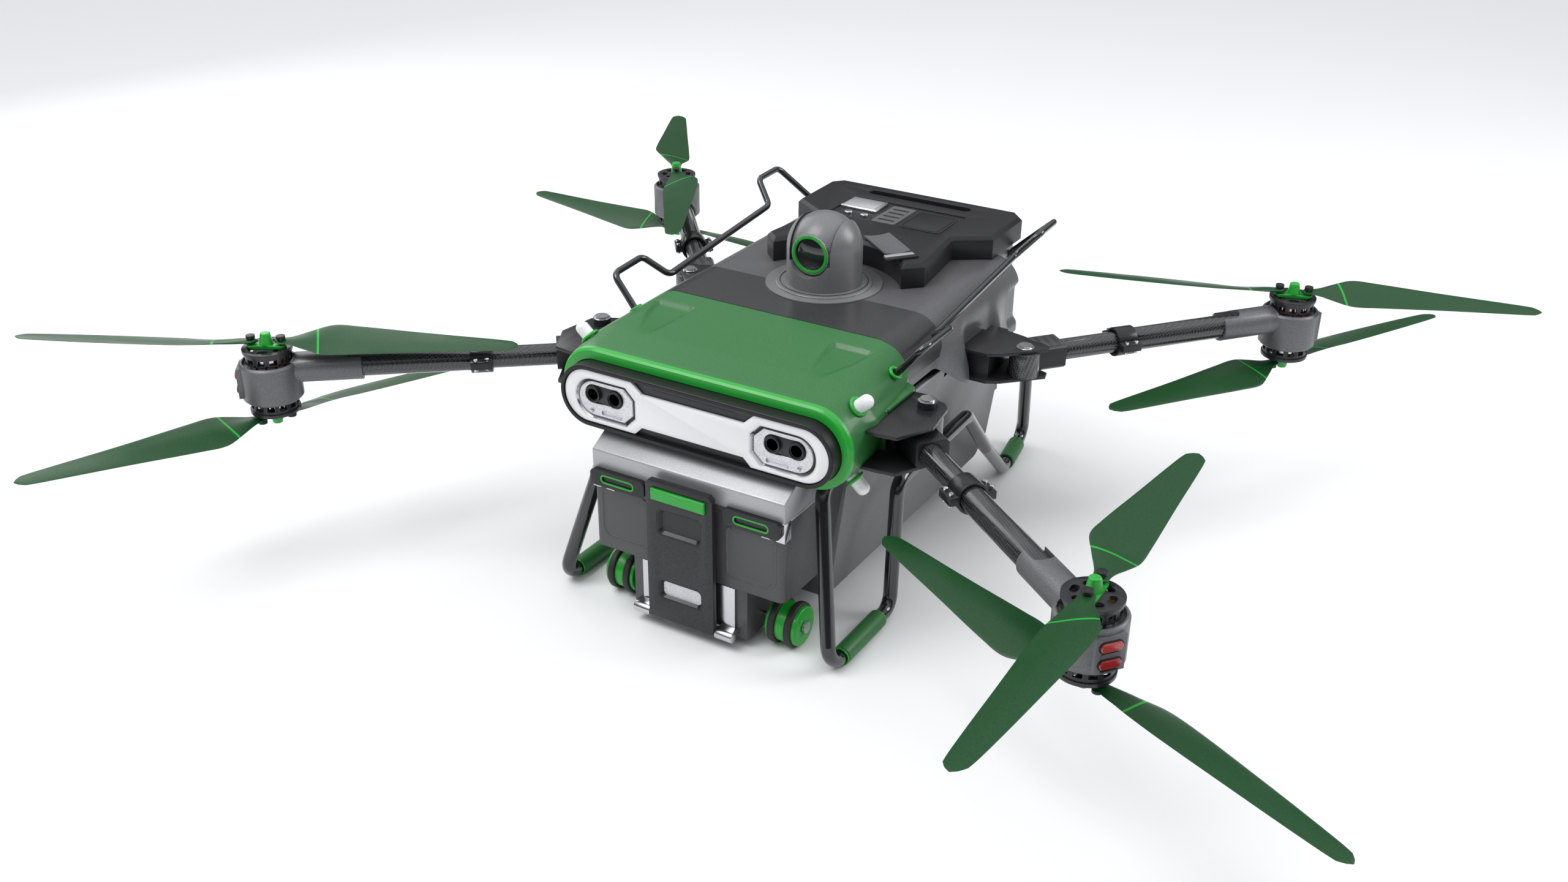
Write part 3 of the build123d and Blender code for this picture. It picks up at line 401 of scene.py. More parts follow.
backing = plate(slot_outline(0, bar_z, 2 * bar_half - 0.016, 2 * bar_rise - 0.016, 20),
                face_front + 0.008, face_front + 0.012, upright=True)
for side in (1, -1):
    carve(backing, block((-0.09, face_front - 0.01, bar_z + side * 0.046 - 0.0005),
                         (0.09, face_front + 0.0085, bar_z + side * 0.046 + 0.0005)))
dress(round_edges(backing, 0.001, 2), "sensor_backing", "fuselage", "black_housing", dark_band)


def module_frame():
    """The polished bevel between the white face and the module."""
    outer = plate(module_outline(-0.006), face_front + 0.0005, face_front + 0.0115, upright=True)
    centre = Vector((0.1955, 0, bar_z - 0.0035))
    well = plate(module_outline(-0.007), face_front - 0.001, face_front + 0.010, upright=True)
    for vertex in well.data.vertices:
        if vertex.co.y > face_front + 0.005:
            vertex.co.x = centre.x + (vertex.co.x - centre.x) * 0.90
            vertex.co.z = centre.z + (vertex.co.z - centre.z) * 0.86
    return carve(outer, well)


def module_plate():
    """The silver plate with its lens window and slot."""
    shape = [(0.1955 + (x - 0.1955) * 0.90, bar_z - 0.0035 + (z - bar_z + 0.0035) * 0.86)
             for x, z in module_outline(-0.008)]
    body = plate(shape, face_front + 0.002, face_front + 0.0105, upright=True)
    carve(body, plate(slot_outline(0.199, bar_z + 0.006, 0.087, 0.037, 16), face_front - 0.01,
                      face_front + 0.008, upright=True))
    carve(body, plate(slot_outline(0.183, bar_z - 0.030, 0.047, 0.010, 10), face_front - 0.01,
                      face_front + 0.007, upright=True))
    return round_edges(body, 0.0012, 3)


def lens_group():
    """The black figure-of-eight bezel and its two barrels."""
    bezel = plate(slot_outline(0.199, bar_z + 0.006, 0.086, 0.036, 16), face_front + 0.004,
                  face_front + 0.0095, upright=True)
    parts = [round_edges(bezel, 0.001, 2)]
    for x in (0.174, 0.224):
        ring = drum((x, face_front + 0.003, bar_z + 0.006), 0.0165, 0.012, "Y", 48)
        carve(ring, drum((x, face_front - 0.003, bar_z + 0.006), 0.0135, 0.006, "Y", 48))
        parts.append(round_edges(ring, 0.0008, 2))
    return join(parts)


def lens_fronts():
    """Two discs of dark glass with a domed front."""
    parts = []
    for x in (0.174, 0.224):
        disc = drum((x, face_front + 0.0015, bar_z + 0.006), 0.0130, 0.003, "Y", 40)
        parts.append(round_edges(disc, 0.0012, 4))
    return join(parts)


def module_screw():
    """The small silver button on each module."""
    return round_edges(drum((0.229, face_front + 0.0005, bar_z - 0.030), 0.0042, 0.006, "Y", 6), 0.0006, 2)


for maker, name, slot, material, replaced in (
        (module_frame, "module_bevel", "silver_module", polished_bevel, ()),
        (module_plate, "module_plate", "silver_module", blasted_silver, ("camera_modules",)),
        (lens_group, "lens_bezel", "lens_black", lens_black, ("camera_lenses",)),
        (lens_fronts, "lens_glass", "lens_black", lens_glass, ()),
        (module_screw, "module_button", "silver_module", polished_bevel, ())):
    piece = maker()
    dress(twin(piece), name + "_left", "fuselage", slot, material)
    dress(piece, name + "_right", "fuselage", slot, material, *replaced)

# ----------------------------------------------------------------------
# Nose cowl: a green moulded shell with a bright lip round the bar, two
# pressed pockets on top, and round seats for the caps and the rails.
# ----------------------------------------------------------------------


def ease(value, low, high):
    """Smooth rise from 0 at low to 1 at high."""
    share = min(max((value - low) / (high - low), 0.0), 1.0)
    return share * share * (3 - 2 * share)


def bump_between(value, low, high, edge):
    """1 between two limits, falling smoothly to 0 over an edge."""
    return ease(value, low - edge, low + edge) * (1 - ease(value, high - edge, high + edge))


def skin(across, along, place, closed=False):
    """A grid whose points are set by how far across and along they lie."""
    clear()
    bpy.ops.mesh.primitive_grid_add(x_subdivisions=across, y_subdivisions=along, size=2)
    piece = bpy.context.object
    for vertex in piece.data.vertices:
        vertex.co = place((vertex.co.x + 1) / 2, (vertex.co.y + 1) / 2)
    if closed:
        edit(piece, (bpy.ops.mesh.remove_doubles, {"threshold": 0.00002}),
             (bpy.ops.mesh.normals_make_consistent, {"inside": False}))
    return piece


def hood_point(share, half, top, low, radius, tuck=0.0):
    """A point round an open hood: up one side, over the top and down the other."""
    bend = pi * radius / 2
    side = top - low - (2 if tuck else 1) * radius
    crown = 2 * (half - radius)
    runs = ([tuck, bend] if tuck else []) + [side, bend, crown, bend, side] + ([bend, tuck] if tuck else [])
    left = share * sum(runs)
    x, z, heading = -half + (tuck + radius if tuck else 0), low, pi if tuck else pi / 2
    for number, run in enumerate(runs):
        curved = number % 2 == (1 if tuck else 1)
        part = min(left, run)
        if curved:
            turn = part / radius
            x += radius * (sin(heading) - sin(heading - turn))
            z += radius * (cos(heading - turn) - cos(heading))
            heading -= turn
        else:
            x += part * cos(heading)
            z += part * sin(heading)
        left -= part
        if left <= 1e-9:
            break
    return x, z, heading


cowl_low, cowl_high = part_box("cowl")
cowl_front, cowl_rear = cowl_low.y, cowl_high.y
shell_low, shell_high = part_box("upper_shell")
# station: share of the way, depth, half width, top, bottom, corner radius
lip_y = cowl_front + 0.001
mouth_rise = bar_rise + 0.001
cowl_stations = [(0.00, lip_y, bar_half + 0.001, bar_z + mouth_rise, bar_z - mouth_rise, bar_rise),
                 (0.05, lip_y + 0.001, 0.3155, bar_z + 0.0800, bar_z - 0.0780, 0.0770),
                 (0.09, lip_y + 0.006, 0.3185, bar_z + 0.0845, bar_z - 0.0800, 0.0790),
                 (0.16, lip_y + 0.020, 0.3200, bar_z + 0.0880, bar_z - 0.0805, 0.0790),
                 (0.40, lip_y + 0.090, 0.3200, bar_z + 0.0980, bar_z - 0.0790, 0.0760),
                 (1.00, cowl_rear, 0.2955, shell_high.z + 0.0000, bar_z - 0.0730, 0.0700)]


def cowl_station(along):
    """Sizes of the cowl's section part of the way back."""
    for before, after in zip(cowl_stations, cowl_stations[1:]):
        if along <= after[0]:
            share = (along - before[0]) / (after[0] - before[0])
            return [a + (b - a) * share for a, b in zip(before[1:], after[1:])]
    return list(cowl_stations[-1][1:])


def cowl_place(across, along):
    depth, half, top, low, radius = cowl_station(along ** 1.3)
    x, z, heading = hood_point(across, half, top, low, radius, tuck=half - radius - 0.225)
    reach = ease(depth, cowl_front + 0.055, cowl_rear - 0.048)
    middle = 0.188 + 0.012 * reach
    width = 0.010 + 0.030 * reach
    press = bump_between(abs(x), middle - width, middle + width, 0.006)
    press *= ease(depth, cowl_front + 0.05, cowl_front + 0.13)
    press *= 1 - ease(depth, cowl_rear - 0.054, cowl_rear - 0.044)
    if z > bar_z + 0.05:
        z -= 0.009 * press * reach
    rib = bump_between(z, bar_z + 0.02, bar_z + 0.052, 0.008) * bump_between(depth, -0.33, -0.15, 0.02)
    x += (1 if x > 0 else -1) * 0.006 * rib
    return x, depth, z


cowl_green = finish("cowl_green", (0.012, 0.115, 0.022), (0.024, 0.160, 0.036), (0.34, 0.46), speckle=650,
                    bump=0.22, coat=0.15)
bright_green = finish("bright_green", (0.006, 0.30, 0.022), (0.012, 0.38, 0.032), (0.30, 0.40), speckle=650,
                      bump=0.12, coat=0.2)
cowl = skin(330, 110, cowl_place)
modify(cowl, "SOLIDIFY", thickness=0.004, offset=-1)
dress(cowl, "nose_cowl", "fuselage", "green_shell", cowl_green, "cowl", angle=60)
cowl.data.materials.append(bright_green)
for polygon in cowl.data.polygons:
    if polygon.center.y < lip_y + 0.012:
        polygon.material_index = 1

cap_white = finish("cap_white", (0.82, 0.82, 0.83), (0.88, 0.88, 0.89), (0.22, 0.3), bump=0.03, coat=0.4)
coat_node(cap_white, "antenna_caps", "spray_nozzles")


def seat_ring(centre, facing, radius, thickness):
    """A moulded ring round the foot of a cap or a rail."""
    clear()
    bpy.ops.mesh.primitive_torus_add(major_radius=radius, minor_radius=thickness, major_segments=48,
                                     minor_segments=16, location=centre,
                                     rotation=Vector(facing).to_track_quat("Z", "Y").to_euler())
    return settle(bpy.context.object)


for name, height, lift, centre_x in (("upper", 0.5145, 0.9, 0.2965), ("lower", 0.3675, -0.9, 0.2955)):
    ring = seat_ring((centre_x, -0.334, height), (1, 0, lift), 0.0165, 0.0035)
    dress(twin(ring), f"cap_seat_{name}_left", "fuselage", "green_shell", bright_green)
    dress(ring, f"cap_seat_{name}_right", "fuselage", "green_shell", bright_green)
ring = seat_ring((0.2935, -0.184, 0.5215), (1, 0, 1.2), 0.0110, 0.0036)
dress(twin(ring), "rail_seat_left", "fuselage", "green_shell", bright_green)
dress(ring, "rail_seat_right", "fuselage", "green_shell", bright_green)

flange = plate(rounded([(0.292, -0.268, 0.006), (0.3215, -0.268, 0.012), (0.3215, -0.150, 0.012),
                        (0.292, -0.134, 0.006)], 6), 0.4775, 0.4855)
strip = plate(rounded([(0.300, -0.272, 0.003), (0.3215, -0.272, 0.003), (0.3215, -0.264, 0.003),
                       (0.300, -0.264, 0.003)], 5), 0.3990, 0.4855)
for piece, name in ((flange, "cowl_flange"), (strip, "cowl_flange_strip")):
    round_edges(piece, 0.002, 3)
    dress(twin(piece), name + "_left", "fuselage", "green_shell", cowl_green)
    dress(piece, name + "_right", "fuselage", "green_shell", cowl_green)

# ----------------------------------------------------------------------
# Upper shell and deck: grey speckled composite hood with drawn-down legs
# at the rear arms, and a dark satin deck let in behind the cowl.
# ----------------------------------------------------------------------
shoulder = 0.065
deck_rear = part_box("deck_panel")[1].y
rear_arm_y = 0.176
shell_rear = 0.430
tail_radius = 0.028


def shell_low_edge(depth):
    """The hood's lower edge: high behind the cowl, drawn down at the rear arms."""
    return shell_low.z + 0.006 - 0.070 * ease(depth, -0.02, 0.115)


def shell_place(across, along):
    depth = cowl_rear + (shell_rear - cowl_rear) * along
    low = shell_low_edge(depth)
    half = shell_high.x
    inset = 0.0
    if depth > shell_rear - tail_radius:
        back = (depth - shell_rear + tail_radius) / tail_radius
        inset = tail_radius * (1 - sqrt(max(0.0, 1 - back * back)))
    x, z, heading = hood_point(across, half - inset, shell_high.z - inset, low, shoulder)
    side = 1 if x > 0 else -1
    drop = ease(0.53 - z, 0.0, 0.13)
    leg = bump_between(depth, 0.045, 0.30, 0.045)
    mouth = bump_between(depth, rear_arm_y - 0.055, rear_arm_y + 0.085, 0.022)
    pocket = bump_between(depth, 0.36, 0.485, 0.012) * bump_between(z, 0.415, 0.497, 0.010)
    x += side * (0.030 * leg * drop - 0.034 * mouth * drop - 0.010 * pocket)
    return x, depth, z


grey_speckle = finish("grey_speckle", (0.085, 0.085, 0.091), (0.140, 0.140, 0.149), (0.33, 0.45), metal=0.25,
                      speckle=620, bump=0.28)
deck_satin = finish("deck_satin", (0.030, 0.030, 0.033), (0.038, 0.038, 0.041), (0.22, 0.3), speckle=300,
                    bump=0.05)
shell = skin(300, 190, shell_place)
modify(shell, "SOLIDIFY", thickness=0.004, offset=-1)
dress(shell, "shell_hood", "fuselage", "grey_shell", grey_speckle, "upper_shell", angle=50)

back_half, back_low, back_high = 0.262, 0.392, shell_high.z - 0.028
back_outline = rounded([(-back_half, back_low, 0.01), (back_half, back_low, 0.01),
                        (back_half, back_high, 0.04), (-back_half, back_high, 0.04)], 10)
back = plate(back_outline, shell_rear - 0.006, shell_rear - 0.001, upright=True)
dress(round_edges(back, 0.0012, 2), "shell_back", "fuselage", "grey_shell", grey_speckle)


def deck_place(across, along):
    depth = cowl_rear - 0.001 + (deck_rear - cowl_rear + 0.001) * along
    x, z, heading = hood_point(across, shell_high.x + 0.0008, shell_high.z + 0.0008, 0.478, shoulder)
    return x, depth, z


dome_low, dome_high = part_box("camera_yoke")
dome_x, dome_y = 0.0, (dome_low.y + dome_high.y) / 2
deck = skin(200, 40, deck_place)
modify(deck, "SOLIDIFY", thickness=0.003, offset=-1)
carve(deck, drum((dome_x, dome_y, shell_high.z), 0.121, 0.1, "Z", 96))
dress(deck, "deck_skin", "fuselage", "dark_deck", deck_satin, "deck_panel", angle=40)

# ----------------------------------------------------------------------
# Folding arms: angular moulded socket blocks, woven carbon knuckles that
# turn on steel pins, carbon tubes and black clamps held by screws.
# ----------------------------------------------------------------------


def weave(name, dark, light, size, rough):
    """Lacquered woven carbon."""
    material, nodes, links, shader = new_material(name)
    coordinates = nodes.new("ShaderNodeTexCoord")
    turned = nodes.new("ShaderNodeMapping")
    turned.inputs["Rotation"].default_value = (radians(45), radians(20), radians(45))
    links.new(coordinates.outputs["Object"], turned.inputs["Vector"])
    checks = nodes.new("ShaderNodeTexChecker")
    checks.inputs["Scale"].default_value = size
    links.new(turned.outputs["Vector"], checks.inputs["Vector"])
    broad = grain(nodes, links, 14.0, 2.0)
    links.new(tint(nodes, links, checks.outputs["Fac"], dark, light), shader.inputs["Base Color"])
    links.new(spread(nodes, links, broad.outputs["Fac"], rough[0], rough[1]), shader.inputs["Roughness"])
    ripple = nodes.new("ShaderNodeBump")
    ripple.inputs["Strength"].default_value = 0.12
    ripple.inputs["Distance"].default_value = 0.0003
    links.new(checks.outputs["Fac"], ripple.inputs["Height"])
    links.new(ripple.outputs["Normal"], shader.inputs["Normal"])
    shader.inputs["Coat Weight"].default_value = 0.6
    shader.inputs["Coat Roughness"].default_value = 0.1
    return material


def middle_of(piece):
    """The middle of a piece's box."""
    spots = [vertex.co for vertex in piece.data.vertices]
    return Vector([(min(s[i] for s in spots) + max(s[i] for s in spots)) / 2 for i in range(3)])


def loose(node):
    """A copy of a CAD node's own shape, split into its loose pieces."""
    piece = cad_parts[node].copy()
    piece.data = piece.data.copy()
    piece.parent = None
    for key in list(piece.keys()):
        del piece[key]
    bpy.context.scene.collection.objects.link(piece)
    edit(piece, (bpy.ops.mesh.remove_doubles, {"threshold": 0.00001}),
         (bpy.ops.mesh.dissolve_limited, {"angle_limit": radians(1.0)}),
         (bpy.ops.mesh.separate, {"type": "LOOSE"}))
    pieces = list(bpy.context.selected_objects)
    for found in pieces:
        found.data.materials.clear()
    return pieces


def nearest(pieces, spot):
    """The pieces in order of their distance from a spot."""
    return sorted(pieces, key=lambda piece: (middle_of(piece) - Vector(spot)).length)


def paint(piece, material, chosen):
    """Gives the faces that a test picks a second finish."""
    piece.data.materials.append(material)
    for polygon in piece.data.polygons:
        if chosen(polygon.center):
            polygon.material_index = len(piece.data.materials) - 1
    return piece


front_pin, rear_pin = (0.369, -0.199), (0.405, 0.176)
tube_lean = 3.04
front_heading, rear_heading = -42.0 + tube_lean, 53.4 - tube_lean
corners = {"front_right": (1, front_pin, front_heading), "front_left": (-1, front_pin, front_heading),
           "rear_right": (1, rear_pin, rear_heading), "rear_left": (-1, rear_pin, rear_heading)}
arm_z, tube_run = 0.430, 0.6591
socket_black = finish("socket_black", (0.010, 0.010, 0.011), (0.022, 0.022, 0.024), (0.30, 0.44),
                      speckle=700, shine=0.3, bump=0.2)
knuckle_carbon = weave("knuckle_carbon", (0.006, 0.006, 0.007), (0.075, 0.075, 0.08), 230.0, (0.3, 0.42))
tube_carbon = weave("tube_carbon", (0.005, 0.005, 0.006), (0.045, 0.045, 0.048), 260.0, (0.2, 0.32))
steel_bright = finish("steel_bright", (0.52, 0.52, 0.54), (0.66, 0.66, 0.68), (0.16, 0.28), metal=1.0,
                      speckle=900, bump=0.05)
clamp_black = finish("clamp_black", (0.006, 0.006, 0.007), (0.014, 0.014, 0.015), (0.22, 0.34),
                     speckle=800, shine=0.3, bump=0.1, coat=0.2)
pod_axis = {}


def arm_frame(corner):
    """A matrix whose x axis is the corner's tube and whose z is 0 at the tube."""
    side, pin, heading = corners[corner]
    heading = radians(heading if side > 0 else 180 - heading)
    axis = pod_axis[corner]
    base = Vector((axis.x - tube_run * cos(heading), axis.y - tube_run * sin(heading), arm_z))
    return Matrix.Translation(base) @ Matrix.Rotation(heading, 4, "Z")


for corner, (side, pin, heading) in corners.items():
    low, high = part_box(f"rotor_{corner}_upper")
    pod_axis[corner] = Vector(((low.x + high.x) / 2, (low.y + high.y) / 2, 0))
    spot = Vector((side * pin[0], pin[1], arm_z))
    root, inner, outer = nearest(loose(f"arm_{corner}"), spot)
    round_edges(root, 0.0012, 2, 30)
    body = f"arm_{corner}"
    dress(root, f"{body}_root", body, "arm_carbon", socket_black, body)
    paint(root, knuckle_carbon, lambda c: (c.xy - spot.xy).length < 0.0335)
    dress(inner, f"{body}_inner_tube", body, "arm_carbon", tube_carbon)
    dress(outer, f"{body}_outer_tube", body, "arm_carbon", tube_carbon)
    clamp, *screws = sorted(loose(f"arm_clamp_{corner}"), key=lambda piece: -len(piece.data.vertices))
    round_edges(clamp, 0.0016, 3, 30)
    dress(clamp, f"{body}_clamp_body", body, "clamp_black", clamp_black, f"arm_clamp_{corner}")
    dress(join(screws), f"{body}_clamp_screws", body, "clamp_black", steel_bright)

# ----------------------------------------------------------------------
# Chassis and hinge pins: machined plates above and below each knuckle on
# cross beams, with black collars and bright pin heads let into them.
# ----------------------------------------------------------------------
plate_satin = finish("plate_satin", (0.020, 0.020, 0.022), (0.034, 0.034, 0.037), (0.28, 0.40), metal=0.4,
                     speckle=800, bump=0.15)
beams = loose("chassis")
plates = max(beams, key=lambda piece: len(piece.data.vertices))
beams.remove(plates)
round_edges(plates, 0.0012, 2, 30)
dress(plates, "chassis_plates", "fuselage", "chassis_black", plate_satin, "chassis")
dress(round_edges(join(beams), 0.002, 2, 30), "chassis_beams", "fuselage", "chassis_black", plate_satin)
pins = join(loose("hinge_pins"))
dress(pins, "hinge_pin_heads", "fuselage", "pin_steel", steel_bright, "hinge_pins")
paint(pins, socket_black, lambda c: min((Vector((abs(c.x), c.y)) - Vector(pin)).length
                                        for side, pin, heading in corners.values()) > 0.0143)

# ----------------------------------------------------------------------
# Motor pods: speckled cast housings with the sleeve that grips the tube,
# wound stators above and below, and two red lamps on the outer end.
# ----------------------------------------------------------------------
pod_grey = finish("pod_grey", (0.10, 0.10, 0.107), (0.17, 0.17, 0.18), (0.32, 0.46), metal=0.3, speckle=640,
                  bump=0.25)
copper = finish("copper_windings", (0.30, 0.10, 0.035), (0.52, 0.20, 0.07), (0.3, 0.45), metal=0.8,
                speckle=1500, bump=0.8)
pad_grey = finish("pad_grey", (0.075, 0.075, 0.08), (0.12, 0.12, 0.127), (0.4, 0.5), speckle=900, bump=0.2)


def lamp_red(name, dark, light):
    material = finish(name, dark, light, (0.12, 0.22), speckle=400, bump=0.05, coat=0.8)
    material.node_tree.nodes["Principled BSDF"].inputs["Subsurface Weight"].default_value = 0.2
    return material


lamp_pale = lamp_red("lamp_pale", (0.42, 0.030, 0.030), (0.50, 0.05, 0.05))
lamp_deep = lamp_red("lamp_deep", (0.30, 0.008, 0.012), (0.38, 0.014, 0.018))


upper_lamp, lower_lamp, end_face = -0.007, -0.037, tube_run + 0.062


def end_piece(outline, depth, edge, segments, proud=0.0):
    """A plate with rounded edges that faces out along the tube from the pod's end."""
    piece = plate(outline, 0.0, depth)
    round_edges(piece, edge, segments, 50)
    piece.data.transform(Matrix(((0, 0, 1, end_face + proud), (1, 0, 0, 0), (0, 1, 0, 0), (0, 0, 0, 1))))
    return piece


def lamp_shape(height):
    """A red lens with rounded ends and a domed front."""
    return end_piece(slot_outline(0, height, 0.038, 0.0155, 10), 0.0042, 0.0018, 4, 0.0002)


def end_frame():
    """The black rims round the lamps and the slot below them."""
    slots = ((upper_lamp, 0.043, 0.0205), (lower_lamp, 0.043, 0.0205), (-0.0495, 0.030, 0.003))
    return join([end_piece(slot_outline(0, height, width, rise, 8), 0.0016, 0.0006, 2, -0.0005)
                 for height, width, rise in slots])


def end_pad():
    """The grey pad between the lamps."""
    return end_piece(box_outline(-0.016, -0.0262, 0.016, -0.0178, 0.003, 5), 0.002, 0.0007, 2, -0.0002)


ends = [(lamp_shape(upper_lamp), "lamp_upper", lamp_pale), (lamp_shape(lower_lamp), "lamp_lower", lamp_deep),
        (end_frame(), "lamp_rims", socket_black), (end_pad(), "end_pad", pad_grey)]
for corner in corners:
    body = f"arm_{corner}"
    shapes = sorted(loose(f"motor_pod_{corner}"), key=lambda piece: -len(piece.data.vertices))
    housing, stators, lights = shapes[0], shapes[1:3], shapes[3:]
    for light in lights:
        bpy.data.objects.remove(light)
    round_edges(housing, 0.0010, 2, 30)
    dress(housing, f"pod_{corner}_housing", body, "pod_grey", pod_grey, f"motor_pod_{corner}")
    axis = pod_axis[corner]
    winding = join(stators)
    dress(winding, f"pod_{corner}_stators", body, "pod_grey", copper)
    paint(winding, steel_bright, lambda c: (c.xy - axis.xy).length > 0.0335)
    for shape, name, material in ends:
        dress(place_copy(shape, arm_frame(corner)), f"pod_{corner}_{name}", body, "pod_grey", material)
for shape, name, material in ends:
    bpy.data.objects.remove(shape)

# ----------------------------------------------------------------------
# Rotors: dark slotted bells, bright green moulded hubs with black knobs,
# and dark green moulded blades that are clamped between plate and knob.
# ----------------------------------------------------------------------
# station: radius, chord, thickness, pitch, lead
blade_stations = [(0.016, 0.024, 0.009, 0, 0), (0.044, 0.031, 0.008, 4, 0.002),
                  (0.080, 0.060, 0.007, 14, 0.007), (0.120, 0.090, 0.006, 17, 0.012),
                  (0.170, 0.089, 0.0055, 15, 0.012), (0.300, 0.068, 0.0045, 11, 0.008),
                  (0.460, 0.042, 0.0035, 7, 0.002), (0.500, 0.030, 0.0030, 6, 0.0)]
blade_level = 0.040


def blade_station(radius):
    """Chord, thickness, pitch and lead, blended smoothly between stations."""
    for index in range(len(blade_stations) - 1):
        a, b = blade_stations[index], blade_stations[index + 1]
        if radius <= b[0]:
            break
    before = blade_stations[max(index - 1, 0)]
    after = blade_stations[min(index + 2, len(blade_stations) - 1)]
    width = b[0] - a[0]
    t = min(max((radius - a[0]) / width, 0.0), 1.0)
    values = []
    for i in range(1, 5):
        start = (b[i] - before[i]) / max(b[0] - before[0], 1e-6) * width
        end = (after[i] - a[i]) / max(after[0] - a[0], 1e-6) * width
        values.append(a[i] * (2 * t ** 3 - 3 * t * t + 1) + start * (t ** 3 - 2 * t * t + t)
                      + b[i] * (3 * t * t - 2 * t ** 3) + end * (t ** 3 - t * t))
    return values


def blade_place(across, along):
    radius = 0.016 + (0.4995 - 0.016) * along
    chord, thickness, pitch, lead = blade_station(radius)
    tip = min(1.0, sqrt(max(0.0, (0.4996 - radius) / 0.016)))
    root = min(1.0, sqrt(max(0.0, (radius - 0.0158) / 0.010)))
    chord, thickness = chord * tip * root, thickness * min(1.0, 3 * tip, 3 * root)
    turn = 2 * pi * across
    u, v = cos(turn) * chord / 2, sin(turn) * thickness / 2
    v *= 0.45 + 0.55 * ease(0.5 + 0.5 * cos(turn), 0.0, 0.55)
    lean = radians(pitch)
    return radius, lead + u * cos(lean) - v * sin(lean), blade_level + u * sin(lean) + v * cos(lean)


def blade_material():
    """Satin dark green with a thin bright line drawn across near the root."""
    material, nodes, links, shader = new_material("blade_green")
    uv = nodes.new("ShaderNodeUVMap")
    split = nodes.new("ShaderNodeSeparateXYZ")
    links.new(uv.outputs["UV"], split.inputs["Vector"])

    def maths(kind, first, second):
        node = nodes.new("ShaderNodeMath")
        node.operation = kind
        for socket, value in zip(node.inputs, (first, second)):
            if isinstance(value, float):
                socket.default_value = value
            else:
                links.new(value, socket)
        return node.outputs[0]

    swing = maths("COSINE", maths("MULTIPLY", split.outputs["X"], 2 * pi), 0.0)
    bowed = maths("ADD", split.outputs["Y"], maths("MULTIPLY", swing, 0.018))
    near = maths("ABSOLUTE", maths("SUBTRACT", bowed, 0.175), 0.0)
    line = maths("LESS_THAN", near, 0.0045)
    fine = grain(nodes, links, 420.0)
    speck = spread(nodes, links, fine.outputs["Fac"], 0.0, 1.0)
    ground = tint(nodes, links, speck, (0.004, 0.046, 0.010), (0.008, 0.066, 0.016))
    mix = nodes.new("ShaderNodeMix")
    mix.data_type = "RGBA"
    mix.inputs["B"].default_value = (0.01, 0.34, 0.03, 1)
    links.new(ground, mix.inputs["A"])
    links.new(line, mix.inputs["Factor"])
    links.new(mix.outputs["Result"], shader.inputs["Base Color"])
    broad = grain(nodes, links, 9.0, 2.0)
    links.new(spread(nodes, links, broad.outputs["Fac"], 0.30, 0.42), shader.inputs["Roughness"])
    shader.inputs["Specular IOR Level"].default_value = 0.35
    return material


blade_green = blade_material()
bell_dark = finish("bell_dark", (0.030, 0.030, 0.033), (0.055, 0.055, 0.06), (0.24, 0.36), metal=0.6,
                   speckle=700, bump=0.15)
blade = skin(28, 90, blade_place, closed=True)
bearings = {"front_right": (90.0, -25.0), "front_left": (29.0, 67.0), "rear_right": (18.0, 62.0),
            "rear_left": (123.0, 176.0)}
for corner, (upper, lower) in bearings.items():
    axis = pod_axis[corner]
    for level, bearing in (("upper", upper), ("lower", lower)):
        node = f"rotor_{corner}_{level}"
        up_way = 1 if level == "upper" else -1
        low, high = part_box(node)
        face = low.z if level == "upper" else high.z
        base = face + 0.030 * up_way
        shapes = nearest(loose(node), (axis.x, axis.y, base))
        bell, hub = shapes[:2]
        if abs(middle_of(bell).z - base) > abs(middle_of(hub).z - base):
            bell, hub = hub, bell
        for shape in shapes[2:]:
            bpy.data.objects.remove(shape)
        dress(round_edges(bell, 0.0006, 2, 30), f"{node}_bell", node, "rotor_green", bell_dark, node)
        dress(round_edges(hub, 0.0008, 2, 30), f"{node}_hub", node, "rotor_green", bright_green)
        plane = base + blade_level * up_way
        paint(hub, socket_black,
              lambda c: (c.xy - axis.xy).length > 0.0195 and (c.z - plane) * up_way > 0.003)
        pair = []
        for turn in (0, 180):
            swing = Matrix.Rotation(radians(bearing + turn), 4, "Z")
            matrix = Matrix.Translation((axis.x, axis.y, base)) @ swing @ Matrix.Diagonal((1, 1, up_way, 1))
            pair.append(place_copy(blade, matrix))
        dress(join(pair), f"{node}_blades", node, "rotor_green", blade_green, angle=60)
bpy.data.objects.remove(blade)

# ----------------------------------------------------------------------
# Camera dome: grey ball on turned flange rings, with a hood band between
# two cheeks and a black window in a green ring on the tilting eye.
# ----------------------------------------------------------------------
dome_grey = finish("dome_grey", (0.15, 0.15, 0.157), (0.21, 0.21, 0.22), (0.28, 0.38), metal=0.2, speckle=800,
                   bump=0.12)
ring_grey = finish("ring_grey", (0.33, 0.33, 0.345), (0.42, 0.42, 0.435), (0.3, 0.4), metal=0.3, speckle=900)
dome_z, eye_radius, window_radius = 0.634, 0.0725, 0.042
window_y = dome_y - sqrt(eye_radius ** 2 - window_radius ** 2)
yoke = join(loose("camera_yoke"))
carve(yoke, drum((0, dome_y - 0.05, dome_z - 0.001), 0.0445, 0.09, "Y", 96))
dress(yoke, "camera_cheeks", "camera_yoke", "dome_grey", dome_grey, "camera_yoke", angle=25)
for side in (1, -1):
    seam = drum((side * 0.0462, dome_y, dome_z), 0.0612, 0.0016, "X", 96)
    carve(seam, drum((side * 0.0462, dome_y, dome_z), 0.0596, 0.01, "X", 96))
    dress(seam, f"camera_seam_{'right' if side > 0 else 'left'}", "camera_yoke", "dome_grey", socket_black)
eye = loose("camera_eye")
